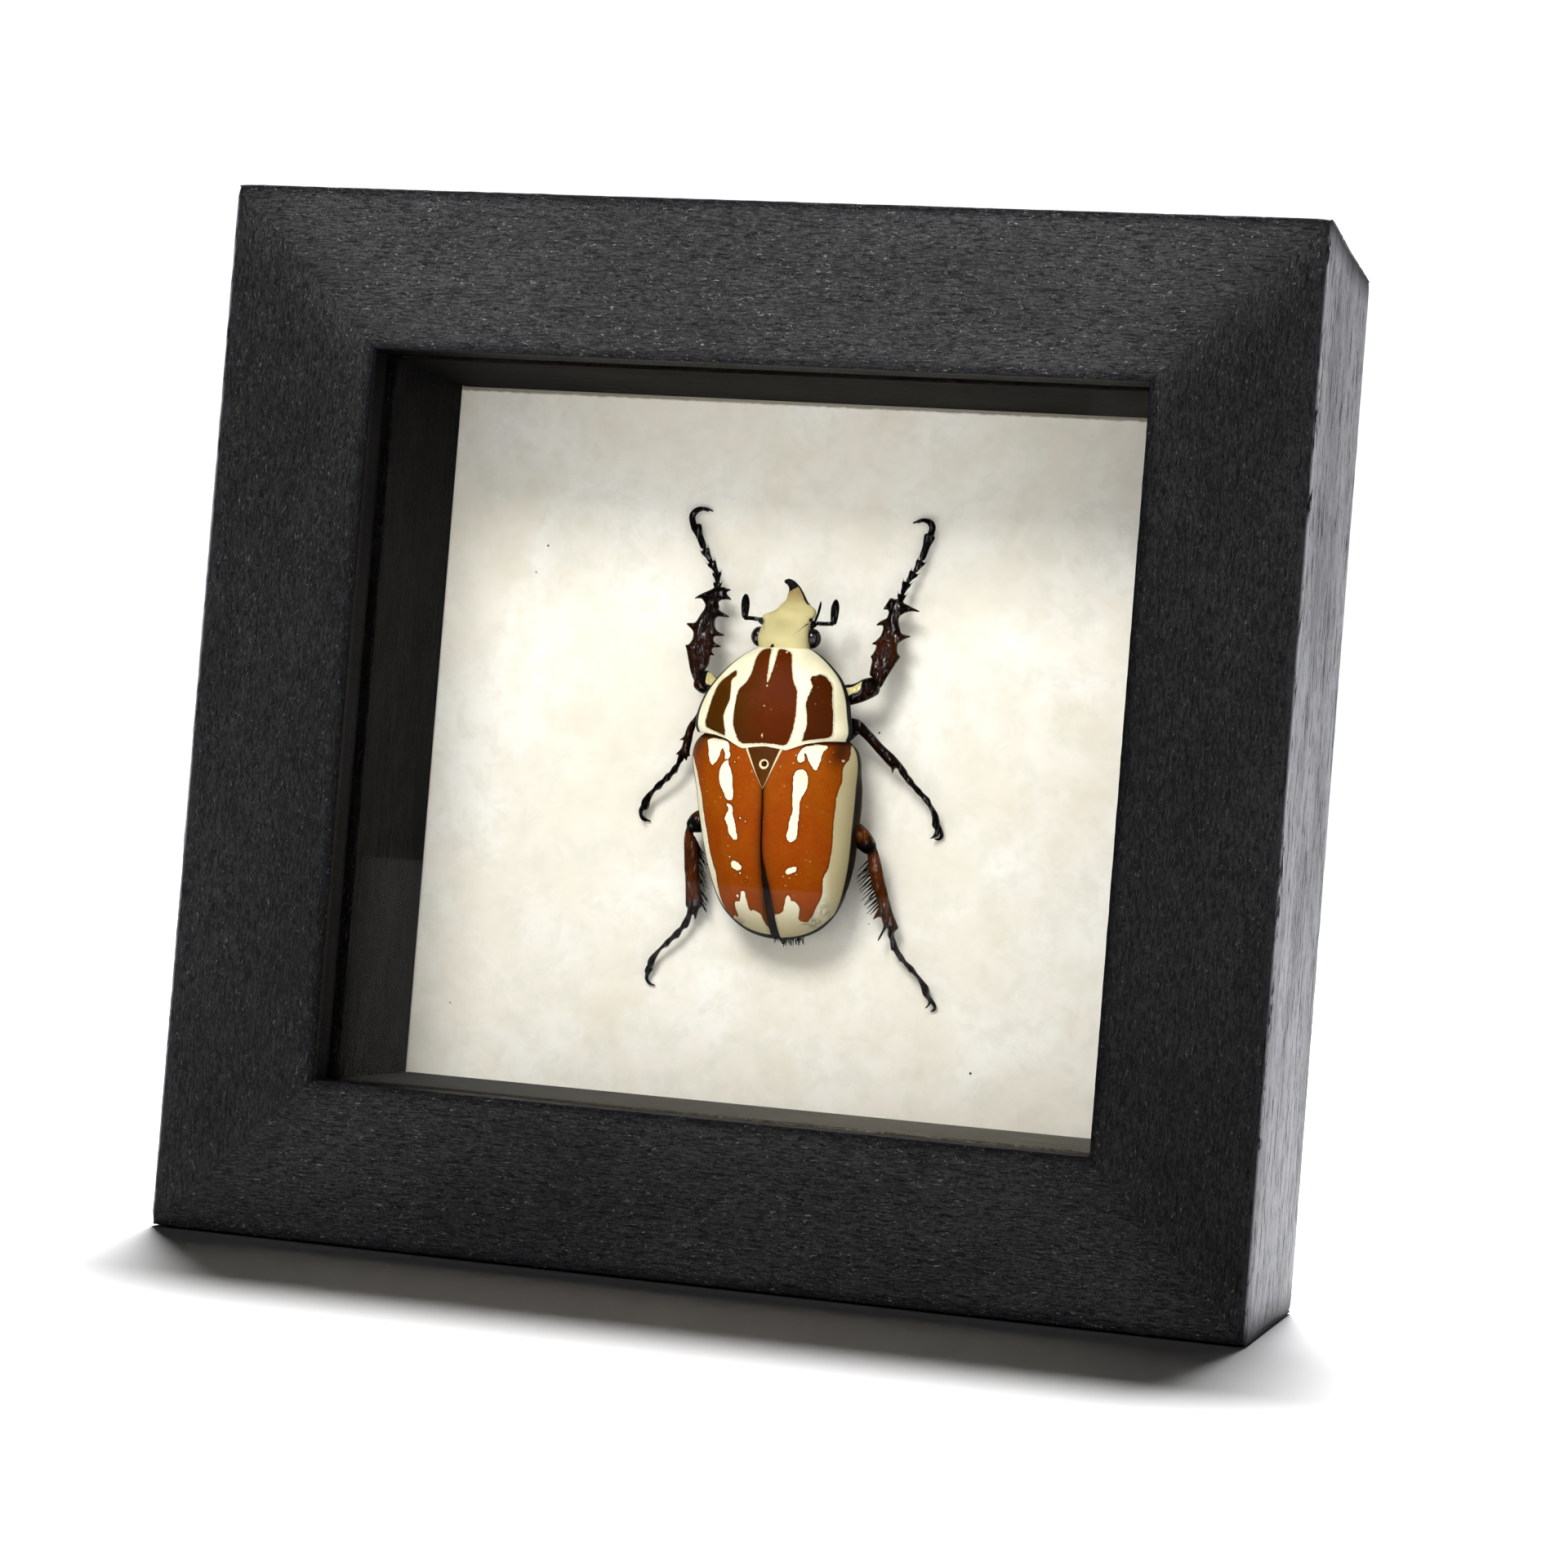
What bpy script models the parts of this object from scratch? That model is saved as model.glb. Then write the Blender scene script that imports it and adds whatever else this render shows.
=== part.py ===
# Framed scarab beetle: a mitred shadow-box frame, its glass, inner strips, paper-covered
# board, back fittings and the dry beetle fixed on the paper.
# The frame stands on its bottom rail, its front faces -Y and +Z is up. Sizes in millimetres
# are turned into metres by MM.

import math

import bmesh
import bpy
from mathutils import Vector

MM = 0.001
GAP = 0.3 * MM                      # clearance kept between pieces that touch

# Frame
FRAME_WIDTH = 172.0 * MM
FRAME_HEIGHT = 164.0 * MM
FRAME_DEPTH = 52.5 * MM
RAIL_FACE = 25.0 * MM               # width of each rail seen from the front
LIP_DEPTH = 6.5 * MM                # thickness of the front lip that holds the glass
RABBET = 6.0 * MM                   # how far the lip reaches in past the rail's body
EDGE_WEAR = 0.45 * MM               # softened corners of the hand-sanded wood
RAIL_BODY = RAIL_FACE - RABBET

# Layers inside, as distances behind the front face
GLASS_START = LIP_DEPTH + GAP
GLASS_THICK = 3.0 * MM
STRIP_START = 10.8 * MM
PAPER_START = 41.4 * MM
PAPER_THICK = 0.4 * MM
BOARD_THICK = 5.0 * MM
BACK_THICK = 3.0 * MM

# Back fittings
POINT_SIZE = Vector((7.0, 0.6, 12.0)) * MM      # width, thickness, length of a retaining point
POINT_GRIP = 4.0 * MM                           # length of a point held in its slot
POINT_SPREAD = 30.0 * MM                        # a side's two points lie this far off its middle
HANGER_SIZE = Vector((44.0, 0.8, 9.0)) * MM
HANGER_TEETH = 11
HANGER_TOOTH = 1.3 * MM
NAIL_INSET = 3.5 * MM
NAIL_SHANK = 0.7 * MM
NAIL_HEAD = 1.7 * MM
NAIL_HEAD_THICK = 0.8 * MM
NAIL_LENGTH = 9.0 * MM

# The whole depth, hanger and nail heads included, is centred on Y = 0
TOTAL_DEPTH = FRAME_DEPTH + GAP + HANGER_SIZE.y + GAP + NAIL_HEAD_THICK
FRONT = -TOTAL_DEPTH / 2
BACK = FRONT + FRAME_DEPTH

# Beetle: where the tip of its scutellum lies, and how it is turned on the paper
BEETLE_X = 0.63 * MM
BEETLE_Z = FRAME_HEIGHT / 2 - 6.3 * MM
BEETLE_TURN = math.radians(-1.0)

# Its body as cross-sections, rear to front, in millimetres:
# (y, middle x, half width, height of the widest line, top height, bottom height)
ELYTRA = (
    (-23.3, 1.6, 1.2, 7.4, 8.0, 6.6),
    (-22.6, 1.6, 4.6, 7.4, 9.4, 5.4),
    (-21.2, 1.6, 7.2, 7.5, 10.8, 4.4),
    (-19.0, 1.5, 9.2, 7.7, 12.6, 3.4),
    (-16.0, 1.3, 10.5, 8.0, 14.4, 2.5),
    (-11.0, 1.0, 11.7, 8.4, 16.3, 1.8),
    (-5.0, 0.5, 12.5, 8.6, 17.3, 1.3),
    (1.0, 0.0, 13.3, 8.8, 17.4, 1.1),
    (5.0, -0.3, 13.8, 9.0, 16.6, 1.1),
    (7.4, -0.4, 13.2, 9.0, 15.2, 1.3),
    (9.0, -0.4, 11.5, 9.0, 12.6, 2.0),
)
PRONOTUM = (
    (7.2, -0.5, 12.2, 10.8, 16.9, 2.4),
    (8.9, -0.5, 12.6, 10.9, 17.3, 1.6),
    (12.0, -0.5, 12.3, 11.0, 17.5, 1.2),
    (15.0, -0.2, 11.5, 11.0, 17.0, 1.4),
    (18.0, 0.2, 9.8, 10.8, 16.0, 2.4),
    (20.6, 0.3, 7.3, 10.5, 14.8, 3.8),
    (22.3, 0.4, 4.9, 10.2, 13.3, 5.4),
    (23.1, 0.4, 3.0, 10.0, 12.0, 6.8),
)
PRONOTUM_LOBE = 1.9                 # how far the middle of its hind margin reaches back
PRONOTUM_LOBE_HALF = 5.6
SUTURE_DEPTH = 0.35                 # groove where the two wing cases meet
SUTURE_SPREAD = 1.1                 # half width of the gap between their tips
HEAD = (
    (21.6, 0.1, 3.4, 9.6, 12.4, 6.4),
    (23.0, 0.0, 4.1, 9.6, 12.9, 5.6),
    (25.2, 0.1, 4.1, 9.4, 12.2, 5.6),
    (27.2, 0.4, 3.9, 9.0, 11.2, 6.0),
    (28.3, 0.9, 3.5, 8.9, 10.6, 6.8),
    (29.4, 1.2, 2.4, 9.3, 10.6, 7.8),
    (30.8, 1.6, 1.5, 10.0, 11.0, 8.9),
    (32.2, 1.6, 0.95, 10.8, 11.6, 9.9),
    (33.2, 1.3, 0.75, 11.5, 12.2, 10.8),
    (33.7, 0.9, 0.35, 11.9, 12.2, 11.6),
)

# Legs and feelers as lines of (x, y, height, radius) in millimetres, body to tip
LEGS = {
    "fore_left": {
        "femur": ((-8.0, 13.6, 6.0, 1.5), (-11.5, 14.9, 6.2, 1.75), (-14.2, 16.3, 6.2, 1.3)),
        "tibia": ((-14.5, 16.2, 6.2, 1.0), (-14.9, 21.0, 5.6, 1.35), (-14.3, 26.5, 5.0, 1.4),
                  (-13.5, 31.8, 4.4, 1.25)),
        "tarsus": ((-13.4, 31.6, 4.0, 0.5), (-13.4, 33.2, 3.5, 0.62), (-13.8, 34.9, 3.0, 0.66),
                   (-15.0, 36.6, 2.5, 0.66), (-16.4, 38.7, 2.1, 0.62), (-18.3, 42.7, 1.7, 0.9)),
        "claw": ((-18.5, 42.3, 1.7, 0.55), (-19.0, 44.0, 1.6, 0.5), (-18.5, 45.0, 1.4, 0.42),
                 (-17.5, 45.4, 1.2, 0.3), (-16.4, 45.0, 1.1, 0.12)),
        "teeth": (((-14.2, 29.6), (-17.2, 30.6)), ((-15.0, 25.0), (-18.0, 26.5)),
                  ((-15.3, 21.8), (-17.3, 23.0)), ((-13.0, 31.6), (-10.6, 32.3)),
                  ((-13.2, 30.9), (-10.4, 30.0)), ((-13.8, 28.4), (-10.7, 27.4)),
                  ((-14.2, 25.4), (-11.6, 24.3)), ((-14.4, 23.0), (-12.2, 22.2))),
    },
    "fore_right": {
        "femur": ((8.5, 13.8, 6.0, 1.5), (12.0, 15.0, 6.2, 1.75), (14.8, 16.7, 6.2, 1.35)),
        "tibia": ((15.0, 16.5, 6.2, 1.0), (16.1, 21.5, 5.6, 1.45), (16.8, 26.5, 5.0, 1.35),
                  (17.3, 31.0, 4.4, 1.2)),
        "tarsus": ((17.1, 30.8, 4.0, 0.5), (17.3, 32.6, 3.5, 0.62), (17.9, 34.6, 3.0, 0.66),
                   (18.9, 36.3, 2.5, 0.66), (19.8, 38.2, 2.1, 0.62), (20.9, 42.6, 1.7, 0.9)),
        "claw": ((20.9, 42.2, 1.7, 0.55), (21.1, 43.6, 1.6, 0.5), (20.5, 44.5, 1.4, 0.42),
                 (19.3, 44.8, 1.2, 0.3), (17.8, 44.3, 1.1, 0.12)),
        "teeth": (((17.4, 30.2), (20.9, 29.6)), ((17.2, 26.5), (19.8, 25.7)),
                  ((16.6, 22.2), (18.4, 22.4)), ((16.6, 31.2), (14.9, 30.3)),
                  ((16.5, 28.0), (14.2, 27.3)), ((16.1, 25.0), (13.9, 24.1)),
                  ((15.8, 22.6), (13.9, 22.0))),
    },
    "middle_left": {
        "femur": ((-9.0, 8.0, 4.6, 1.5), (-12.1, 10.0, 4.9, 1.6), (-14.7, 11.5, 5.4, 1.2)),
        "tibia": ((-14.9, 11.8, 5.4, 0.8), (-16.2, 8.6, 4.6, 1.0), (-17.7, 5.2, 3.7, 0.95)),
        "tarsus": ((-17.9, 5.6, 3.5, 0.4), (-18.6, 3.9, 2.8, 0.5), (-19.7, 2.2, 2.2, 0.55),
                   (-21.1, 0.8, 1.8, 0.55), (-22.4, -0.6, 1.5, 0.5), (-24.1, -3.4, 1.3, 0.8)),
        "claw": ((-24.0, -3.1, 1.3, 0.5), (-24.8, -4.3, 1.3, 0.42), (-24.8, -5.2, 1.2, 0.36),
                 (-24.4, -5.7, 1.1, 0.28), (-23.6, -6.0, 1.0, 0.12)),
        "teeth": (((-16.5, 8.3), (-18.1, 8.0)), ((-17.3, 6.2), (-18.8, 5.6)),
                  ((-17.3, 5.8), (-16.8, 3.7)), ((-17.9, 6.0), (-19.4, 4.3))),
    },
    "middle_right": {
        "femur": ((8.0, 8.5, 4.6, 1.5), (10.2, 10.2, 5.4, 1.5), (12.3, 11.4, 6.2, 1.1)),
        "tibia": ((12.1, 11.6, 6.2, 0.85), (15.5, 7.9, 4.9, 0.75), (19.0, 4.5, 3.5, 0.8)),
        "tarsus": ((19.2, 4.8, 3.4, 0.4), (20.4, 2.7, 2.7, 0.5), (21.7, 1.2, 2.1, 0.52),
                   (23.0, -0.1, 1.8, 0.5), (23.9, -1.6, 1.5, 0.46), (24.9, -4.1, 1.3, 0.7)),
        "claw": ((24.9, -3.8, 1.3, 0.5), (25.4, -4.9, 1.3, 0.42), (25.3, -5.6, 1.2, 0.36),
                 (24.7, -6.1, 1.1, 0.28), (23.8, -6.1, 1.0, 0.12)),
        "teeth": (((15.7, 7.3), (15.1, 5.9)), ((18.5, 5.1), (17.2, 3.7)),
                  ((19.0, 4.9), (20.2, 4.5))),
    },
    "hind_left": {
        "femur": ((-7.5, -1.5, 4.0, 1.7), (-11.0, -3.4, 4.4, 2.0), (-13.6, -5.4, 4.8, 1.45)),
        "tibia": ((-13.9, -5.6, 4.8, 0.95), (-14.3, -10.0, 4.2, 1.15), (-14.4, -15.0, 3.5, 1.2),
                  (-14.3, -19.7, 2.9, 1.1)),
        "tarsus": ((-14.4, -19.2, 2.8, 0.45), (-15.3, -21.9, 2.3, 0.55), (-16.6, -23.8, 1.9, 0.58),
                   (-18.1, -25.4, 1.7, 0.58), (-19.5, -26.8, 1.5, 0.52), (-21.2, -30.0, 1.3, 0.85)),
        "claw": ((-21.1, -29.6, 1.3, 0.5), (-21.9, -30.9, 1.3, 0.42), (-22.1, -31.7, 1.2, 0.36),
                 (-21.8, -32.3, 1.1, 0.28), (-21.1, -32.6, 1.0, 0.12)),
        "teeth": (((-13.9, -19.0), (-13.3, -22.2)), ((-14.9, -19.4), (-15.9, -21.0))),
    },
    "hind_right": {
        "femur": ((7.5, -1.2, 4.2, 1.7), (11.7, -4.2, 5.2, 1.9), (15.0, -7.3, 5.8, 1.4)),
        "tibia": ((15.0, -7.5, 5.7, 0.95), (16.3, -12.0, 4.8, 1.1), (17.6, -16.4, 3.9, 1.15),
                  (18.6, -20.4, 3.1, 1.1)),
        "tarsus": ((18.7, -20.0, 3.0, 0.45), (19.1, -23.3, 2.4, 0.55), (20.2, -25.3, 1.9, 0.58),
                   (21.7, -26.9, 1.7, 0.58), (23.0, -28.5, 1.5, 0.52), (24.9, -31.3, 1.3, 0.85)),
        "claw": ((24.8, -30.9, 1.3, 0.5), (25.6, -31.9, 1.3, 0.42), (25.9, -32.6, 1.2, 0.36),
                 (25.7, -33.2, 1.1, 0.28), (25.0, -33.6, 1.0, 0.12)),
        "teeth": (((18.1, -20.0), (16.7, -23.2)), ((18.9, -20.0), (19.6, -22.0))),
    },
}
CLAW_DROP = 0.75                    # the second claw of each foot lies this much lower
CLAW_SPLAY = 0.55                   # and this much aside
TOOTH_WIDTH = 0.95
FEELERS = (
    ((-3.2, 26.6, 8.6, 0.5), (-5.0, 27.3, 8.2, 0.62), (-6.4, 27.5, 7.8, 0.34), (-7.4, 27.6, 7.6, 0.4)),
    ((-7.35, 27.1, 7.6, 0.36), (-7.4, 28.6, 7.5, 0.5), (-7.4, 30.2, 7.4, 0.5), (-7.4, 31.2, 7.3, 0.3)),
    ((3.2, 26.4, 8.6, 0.5), (4.8, 27.0, 8.2, 0.62), (6.1, 27.0, 7.8, 0.34), (7.4, 27.1, 7.6, 0.4)),
    ((7.35, 26.7, 7.6, 0.36), (7.6, 28.2, 7.5, 0.5), (7.7, 29.6, 7.4, 0.5), (7.4, 30.9, 7.3, 0.3)),
    ((4.0, 26.6, 7.6, 0.3), (4.7, 28.6, 7.4, 0.22), (5.0, 30.6, 7.2, 0.14)),
)
EYES = ((-4.45, 24.5, 8.9), (4.45, 24.5, 8.9))
EYE_RADIUS = 1.45


def clear_scene():
    for item in list(bpy.data.objects):
        bpy.data.objects.remove(item)


def material(name, colour, roughness, metallic=0.0, transmission=0.0):
    made = bpy.data.materials.new(name)
    made.use_nodes = True
    shader = made.node_tree.nodes["Principled BSDF"]
    shader.inputs["Base Color"].default_value = (*colour, 1.0)
    shader.inputs["Roughness"].default_value = roughness
    shader.inputs["Metallic"].default_value = metallic
    shader.inputs["Transmission Weight"].default_value = transmission
    return made


def add_object(name, bm, finish, soft_edge=0.0):
    """Make a mesh object from bm, which is freed, with softened edges if asked."""
    bmesh.ops.recalc_face_normals(bm, faces=bm.faces)
    mesh = bpy.data.meshes.new(name)
    bm.to_mesh(mesh)
    bm.free()
    mesh.materials.append(finish)
    item = bpy.data.objects.new(name, mesh)
    bpy.context.scene.collection.objects.link(item)
    if soft_edge:
        bevel = item.modifiers.new("soft_edges", "BEVEL")
        bevel.width = soft_edge
        bevel.segments = 1
        bevel.limit_method = "ANGLE"
    return item


def cut_away(item, cutter):
    """Take the hidden solid cutter out of item."""
    cutter.hide_render = True
    cutter.display_type = "WIRE"
    step = item.modifiers.new("cut_" + cutter.name, "BOOLEAN")
    step.operation = "DIFFERENCE"
    step.solver = "EXACT"
    step.object = cutter


def box_bmesh(low, high):
    bm = bmesh.new()
    bmesh.ops.create_cube(bm, size=1.0)
    for vert in bm.verts:
        for axis in range(3):
            vert.co[axis] = low[axis] if vert.co[axis] < 0 else high[axis]
    return bm


def slab(name, half_width, half_height, start, thickness, finish, soft_edge=0.0):
    """A flat sheet standing in the frame, start behind its front face."""
    low = (-half_width, FRONT + start, FRAME_HEIGHT / 2 - half_height)
    high = (half_width, FRONT + start + thickness, FRAME_HEIGHT / 2 + half_height)
    return add_object(name, box_bmesh(low, high), finish, soft_edge)


def rail_bmesh(length):
    """A rail lying along X, its outer edge at z = 0 and its body below, mitred at both ends."""
    section = (
        (0.0, 0.0),
        (RAIL_FACE, 0.0),
        (RAIL_FACE, LIP_DEPTH),
        (RAIL_BODY, LIP_DEPTH),
        (RAIL_BODY, FRAME_DEPTH),
        (0.0, FRAME_DEPTH),
    )
    mitre_gap = GAP / math.sqrt(2)
    bm = bmesh.new()
    ends = []
    for side in (-1, 1):
        ring = [
            bm.verts.new((side * (length / 2 - inset - mitre_gap), FRONT + depth, -inset))
            for inset, depth in section
        ]
        bm.faces.new(ring)
        ends.append(ring)
    for k in range(len(section)):
        after = (k + 1) % len(section)
        bm.faces.new((ends[0][k], ends[0][after], ends[1][after], ends[1][k]))
    return bm


def point_slot(name, along, finish):
    """The slot in a rail that holds one retaining point, in the rail's own axes."""
    back = back_board_end() + GAP
    half = POINT_SIZE.x / 2 + GAP
    low = (along - half, FRONT + back - GAP, -RAIL_BODY - 1.0 * MM)
    high = (along + half, FRONT + back + POINT_SIZE.y + GAP, -RAIL_BODY + POINT_GRIP + GAP)
    return add_object(name, box_bmesh(low, high), finish)


def back_board_end():
    return PAPER_START + PAPER_THICK + GAP + BOARD_THICK + GAP + BACK_THICK


def build_rails(wood, metal):
    """Four mitred rails with their points. Each rail hangs under an empty on its outer edge."""
    middle = FRAME_HEIGHT / 2
    places = {
        "rail_top": (FRAME_WIDTH, (0, 0, FRAME_HEIGHT), 0),
        "rail_right": (FRAME_HEIGHT, (FRAME_WIDTH / 2, 0, middle), 90),
        "rail_bottom": (FRAME_WIDTH, (0, 0, 0), 180),
        "rail_left": (FRAME_HEIGHT, (-FRAME_WIDTH / 2, 0, middle), 270),
    }
    for name, (length, place, turn) in places.items():
        holder = bpy.data.objects.new(name + "_place", None)
        bpy.context.scene.collection.objects.link(holder)
        holder.location = place
        holder.rotation_euler = (0, math.radians(turn), 0)
        rail = add_object(name, rail_bmesh(length), wood, EDGE_WEAR)
        rail.parent = holder
        for number, along in enumerate((-POINT_SPREAD, POINT_SPREAD), 1):
            slot = point_slot(f"slot_{name}_{number}", along, wood)
            slot.parent = holder
            cut_away(rail, slot)
            point = retaining_point(f"point_{name[5:]}_{number}", along, metal)
            point.parent = holder
        if name == "rail_top":
            drill_nail_holes(rail, holder, wood)


def retaining_point(name, along, finish):
    """A flat steel tab, one end in the rail's slot and the other over the back board."""
    start = FRONT + back_board_end() + GAP
    inner = -RAIL_BODY + POINT_GRIP - POINT_SIZE.z
    half = POINT_SIZE.x / 2
    outline = ((-half, inner + POINT_GRIP), (-half, inner + POINT_SIZE.z),
               (half, inner + POINT_SIZE.z), (half, inner + POINT_GRIP), (0.0, inner))
    return add_object(name, plate_bmesh(outline, along, 0.0, start, POINT_SIZE.y), finish)


def plate_bmesh(outline, shift_x, shift_z, start, thickness):
    """A plate standing upright: its outline in X and Z, with its thickness along Y."""
    bm = bmesh.new()
    front = [bm.verts.new((x + shift_x, start, z + shift_z)) for x, z in outline]
    face = bm.faces.new(front)
    grown = bmesh.ops.extrude_face_region(bm, geom=[face])
    moved = [item for item in grown["geom"] if isinstance(item, bmesh.types.BMVert)]
    bmesh.ops.translate(bm, verts=moved, vec=(0, thickness, 0))
    return bm


def nail_places():
    """X of the two nails, and Z of both, in the top rail's own axes."""
    spread = HANGER_SIZE.x / 2 - NAIL_INSET
    return (-spread, spread), -RAIL_BODY / 2 + 1.0 * MM


def drill_nail_holes(rail, holder, finish):
    xs, z = nail_places()
    for number, x in enumerate(xs, 1):
        bm = bmesh.new()
        hole_depth = NAIL_LENGTH + 1.0 * MM
        rod(bm, (x, BACK - hole_depth, z), (x, BACK + 1.0 * MM, z), NAIL_SHANK + GAP, 12)
        hole = add_object(f"nail_hole_{number}", bm, finish)
        hole.parent = holder
        cut_away(rail, hole)


def rod(bm, start, end, radius, sides):
    """A plain cylinder in bm from start to end."""
    start = Vector(start)
    along = Vector(end) - start
    made = bmesh.ops.create_cone(bm, cap_ends=True, segments=sides, radius1=radius,
                                 radius2=radius, depth=along.length)
    turn = along.to_track_quat("Z", "Y").to_matrix().to_4x4()
    bmesh.ops.transform(bm, matrix=turn, verts=made["verts"])
    bmesh.ops.translate(bm, verts=made["verts"], vec=start + along / 2)


def build_hanger(metal):
    """Saw-toothed hanger on the back of the top rail, with its two nails."""
    xs, z = nail_places()
    z += FRAME_HEIGHT
    start = BACK + GAP
    half_x = HANGER_SIZE.x / 2
    half_z = HANGER_SIZE.z / 2
    pad = NAIL_INSET * 2
    outline = [(half_x - pad, -half_z * 0.55), (half_x, -half_z * 0.55), (half_x, half_z * 0.75),
               (half_x * 0.5, half_z), (-half_x * 0.5, half_z), (-half_x, half_z * 0.75),
               (-half_x, -half_z * 0.55), (-half_x + pad, -half_z * 0.55)]
    pitch = 2 * (half_x - pad) / HANGER_TEETH
    for k in range(HANGER_TEETH):
        left = -half_x + pad + k * pitch
        outline.append((left + 0.5 * pitch, -half_z * 0.55 - HANGER_TOOTH))
        if k < HANGER_TEETH - 1:
            outline.append((left + pitch, -half_z * 0.55))
    hanger = add_object("hanger", plate_bmesh(outline, 0.0, z, start, HANGER_SIZE.y), metal)
    for number, x in enumerate(xs, 1):
        bm = bmesh.new()
        rod(bm, (x, start - 1.0 * MM, z), (x, start + 3.0 * MM, z), NAIL_SHANK + GAP, 12)
        cut_away(hanger, add_object(f"hanger_hole_{number}", bm, metal))
        build_nail(f"nail_{number}", x, z, start + HANGER_SIZE.y + GAP, metal)


def build_nail(name, x, z, seat, metal):
    """A round-headed nail whose head's underside lies at Y = seat."""
    bm = bmesh.new()
    levels = ((-NAIL_LENGTH, 0.15 * NAIL_SHANK), (-NAIL_LENGTH + 1.5 * MM, NAIL_SHANK),
              (0.0, NAIL_SHANK), (0.0, NAIL_HEAD), (0.45 * NAIL_HEAD_THICK, NAIL_HEAD),
              (NAIL_HEAD_THICK, 0.5 * NAIL_HEAD))
    sides = 12
    rings = []
    for depth, radius in levels:
        rings.append([Vector((x + radius * math.cos(math.tau * k / sides), seat + depth,
                              z + radius * math.sin(math.tau * k / sides))) for k in range(sides)])
    loft(bm, rings)
    add_object(name, bm, metal)


def loft(bm, rings):
    """Skin a row of rings of equal count and close both ends."""
    made = [[bm.verts.new(point) for point in ring] for ring in rings]
    for low, high in zip(made, made[1:]):
        for k in range(len(low)):
            after = (k + 1) % len(low)
            bm.faces.new((low[k], low[after], high[after], high[k]))
    bm.faces.new(made[0])
    bm.faces.new(made[-1])
    return made


def body_ring(station, sides, square):
    """One cross-section of the body. Square is 2 for an ellipse and more for a fuller form."""
    y, middle, half, rim, top, bottom = station
    ring = []
    for k in range(sides):
        angle = math.tau * k / sides
        across = math.copysign(abs(math.cos(angle)) ** (2 / square), math.cos(angle))
        up = math.copysign(abs(math.sin(angle)) ** (2 / square), math.sin(angle))
        height = rim + (top - rim) * up if up > 0 else rim + (rim - bottom) * up
        ring.append(Vector((middle + half * across, y, height)) * MM)
    return ring


def build_elytra(bm):
    """Wing cases and abdomen, with the groove between the cases."""
    sides = 28
    rings = [body_ring(station, sides, 2.3) for station in ELYTRA]
    crown = sides // 4
    for number, ring in enumerate(rings[:-2]):
        ring[crown].z -= SUTURE_DEPTH * MM
        if number < 4:
            ring[crown].z -= 0.9 * (4 - number) / 4 * MM
            ring[crown].y += SUTURE_SPREAD * (4 - number) / 4 * MM
    loft(bm, rings)


def build_pronotum(bm):
    """The shield behind the head, its hind margin drawn back over the scutellum."""
    rings = [body_ring(station, 26, 2.15) for station in PRONOTUM]
    for ring, share in zip(rings, (1.0, 0.6, 0.2)):
        for point in ring:
            reach = max(0.0, 1.0 - (point.x / MM / PRONOTUM_LOBE_HALF) ** 2)
            point.y -= PRONOTUM_LOBE * share * reach * MM
    loft(bm, rings)


def build_scutellum(bm):
    """The small raised triangle between the bases of the wing cases."""
    top = 17.75
    corners = ((0.0, -0.2), (-3.5, 6.4), (3.5, 6.4))
    lower = [Vector((x, y, top - 2.5)) * MM for x, y in corners]
    upper = [Vector((x * 0.94, y * 0.94 + 0.15, top - 0.12 * abs(x))) * MM for x, y in corners]
    loft(bm, (lower, upper))


def tube(bm, line, sides, flat=1.0):
    """A tapering limb along a line of (x, y, height, radius); flat squeezes it in height."""
    points = [Vector(entry[:3]) * MM for entry in line]
    rings = []
    for k, (point, entry) in enumerate(zip(points, line)):
        before = points[max(k - 1, 0)]
        after = points[min(k + 1, len(points) - 1)]
        along = (after - before).normalized()
        side = along.cross(Vector((0, 0, 1))).normalized()
        up = side.cross(along)
        radius = entry[3] * MM
        rings.append([
            point + side * radius * math.cos(math.tau * j / sides)
            + up * radius * flat * math.sin(math.tau * j / sides)
            for j in range(sides)
        ])
    loft(bm, rings)


def tarsus(bm, line):
    """A foot of five joints, each widening towards its far end, between the line's points."""
    for number, (near, far) in enumerate(zip(line, line[1:])):
        near = Vector(near)
        far = Vector(far)
        last = number == len(line) - 2
        shape = ((0.0, 0.62), (0.25, 0.7), (0.8, 1.15), (1.04, 0.6))
        if last:
            shape = ((0.0, 0.6), (0.35, 0.62), (0.86, 1.0), (1.0, 0.6))
        width = far.w if last else max(near.w, far.w)
        stretch = [(*(near.xyz.lerp(far.xyz, at)), width * size) for at, size in shape]
        tube(bm, stretch, 6)


def tooth(bm, base, tip, height):
    """A thorn in the plane of the leg from base to tip."""
    along = Vector(tip) - Vector(base)
    middle = Vector(base) + along * 0.5
    line = ((*base, height, TOOTH_WIDTH * 0.75), (*middle, height, TOOTH_WIDTH * 0.42),
            (*tip, height - 0.3, 0.08))
    tube(bm, line, 5)


def height_on(line, y):
    """Height of a leg's line at y, between its first and last points."""
    share = (y - line[0][1]) / (line[-1][1] - line[0][1])
    return line[0][2] + (line[-1][2] - line[0][2]) * min(max(share, 0.0), 1.0)


def build_leg(bm, leg):
    tube(bm, leg["femur"], 8)
    tube(bm, leg["tibia"], 8, 0.75)
    tarsus(bm, leg["tarsus"])
    tube(bm, leg["claw"], 5)
    under = [(x + CLAW_SPLAY * k / 4, y, max(height - CLAW_DROP * k / 4, 0.45), radius * 0.9)
             for k, (x, y, height, radius) in enumerate(leg["claw"])]
    tube(bm, under, 5)
    for base, tip in leg["teeth"]:
        tooth(bm, base, tip, height_on(leg["tibia"], base[1]))


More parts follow.
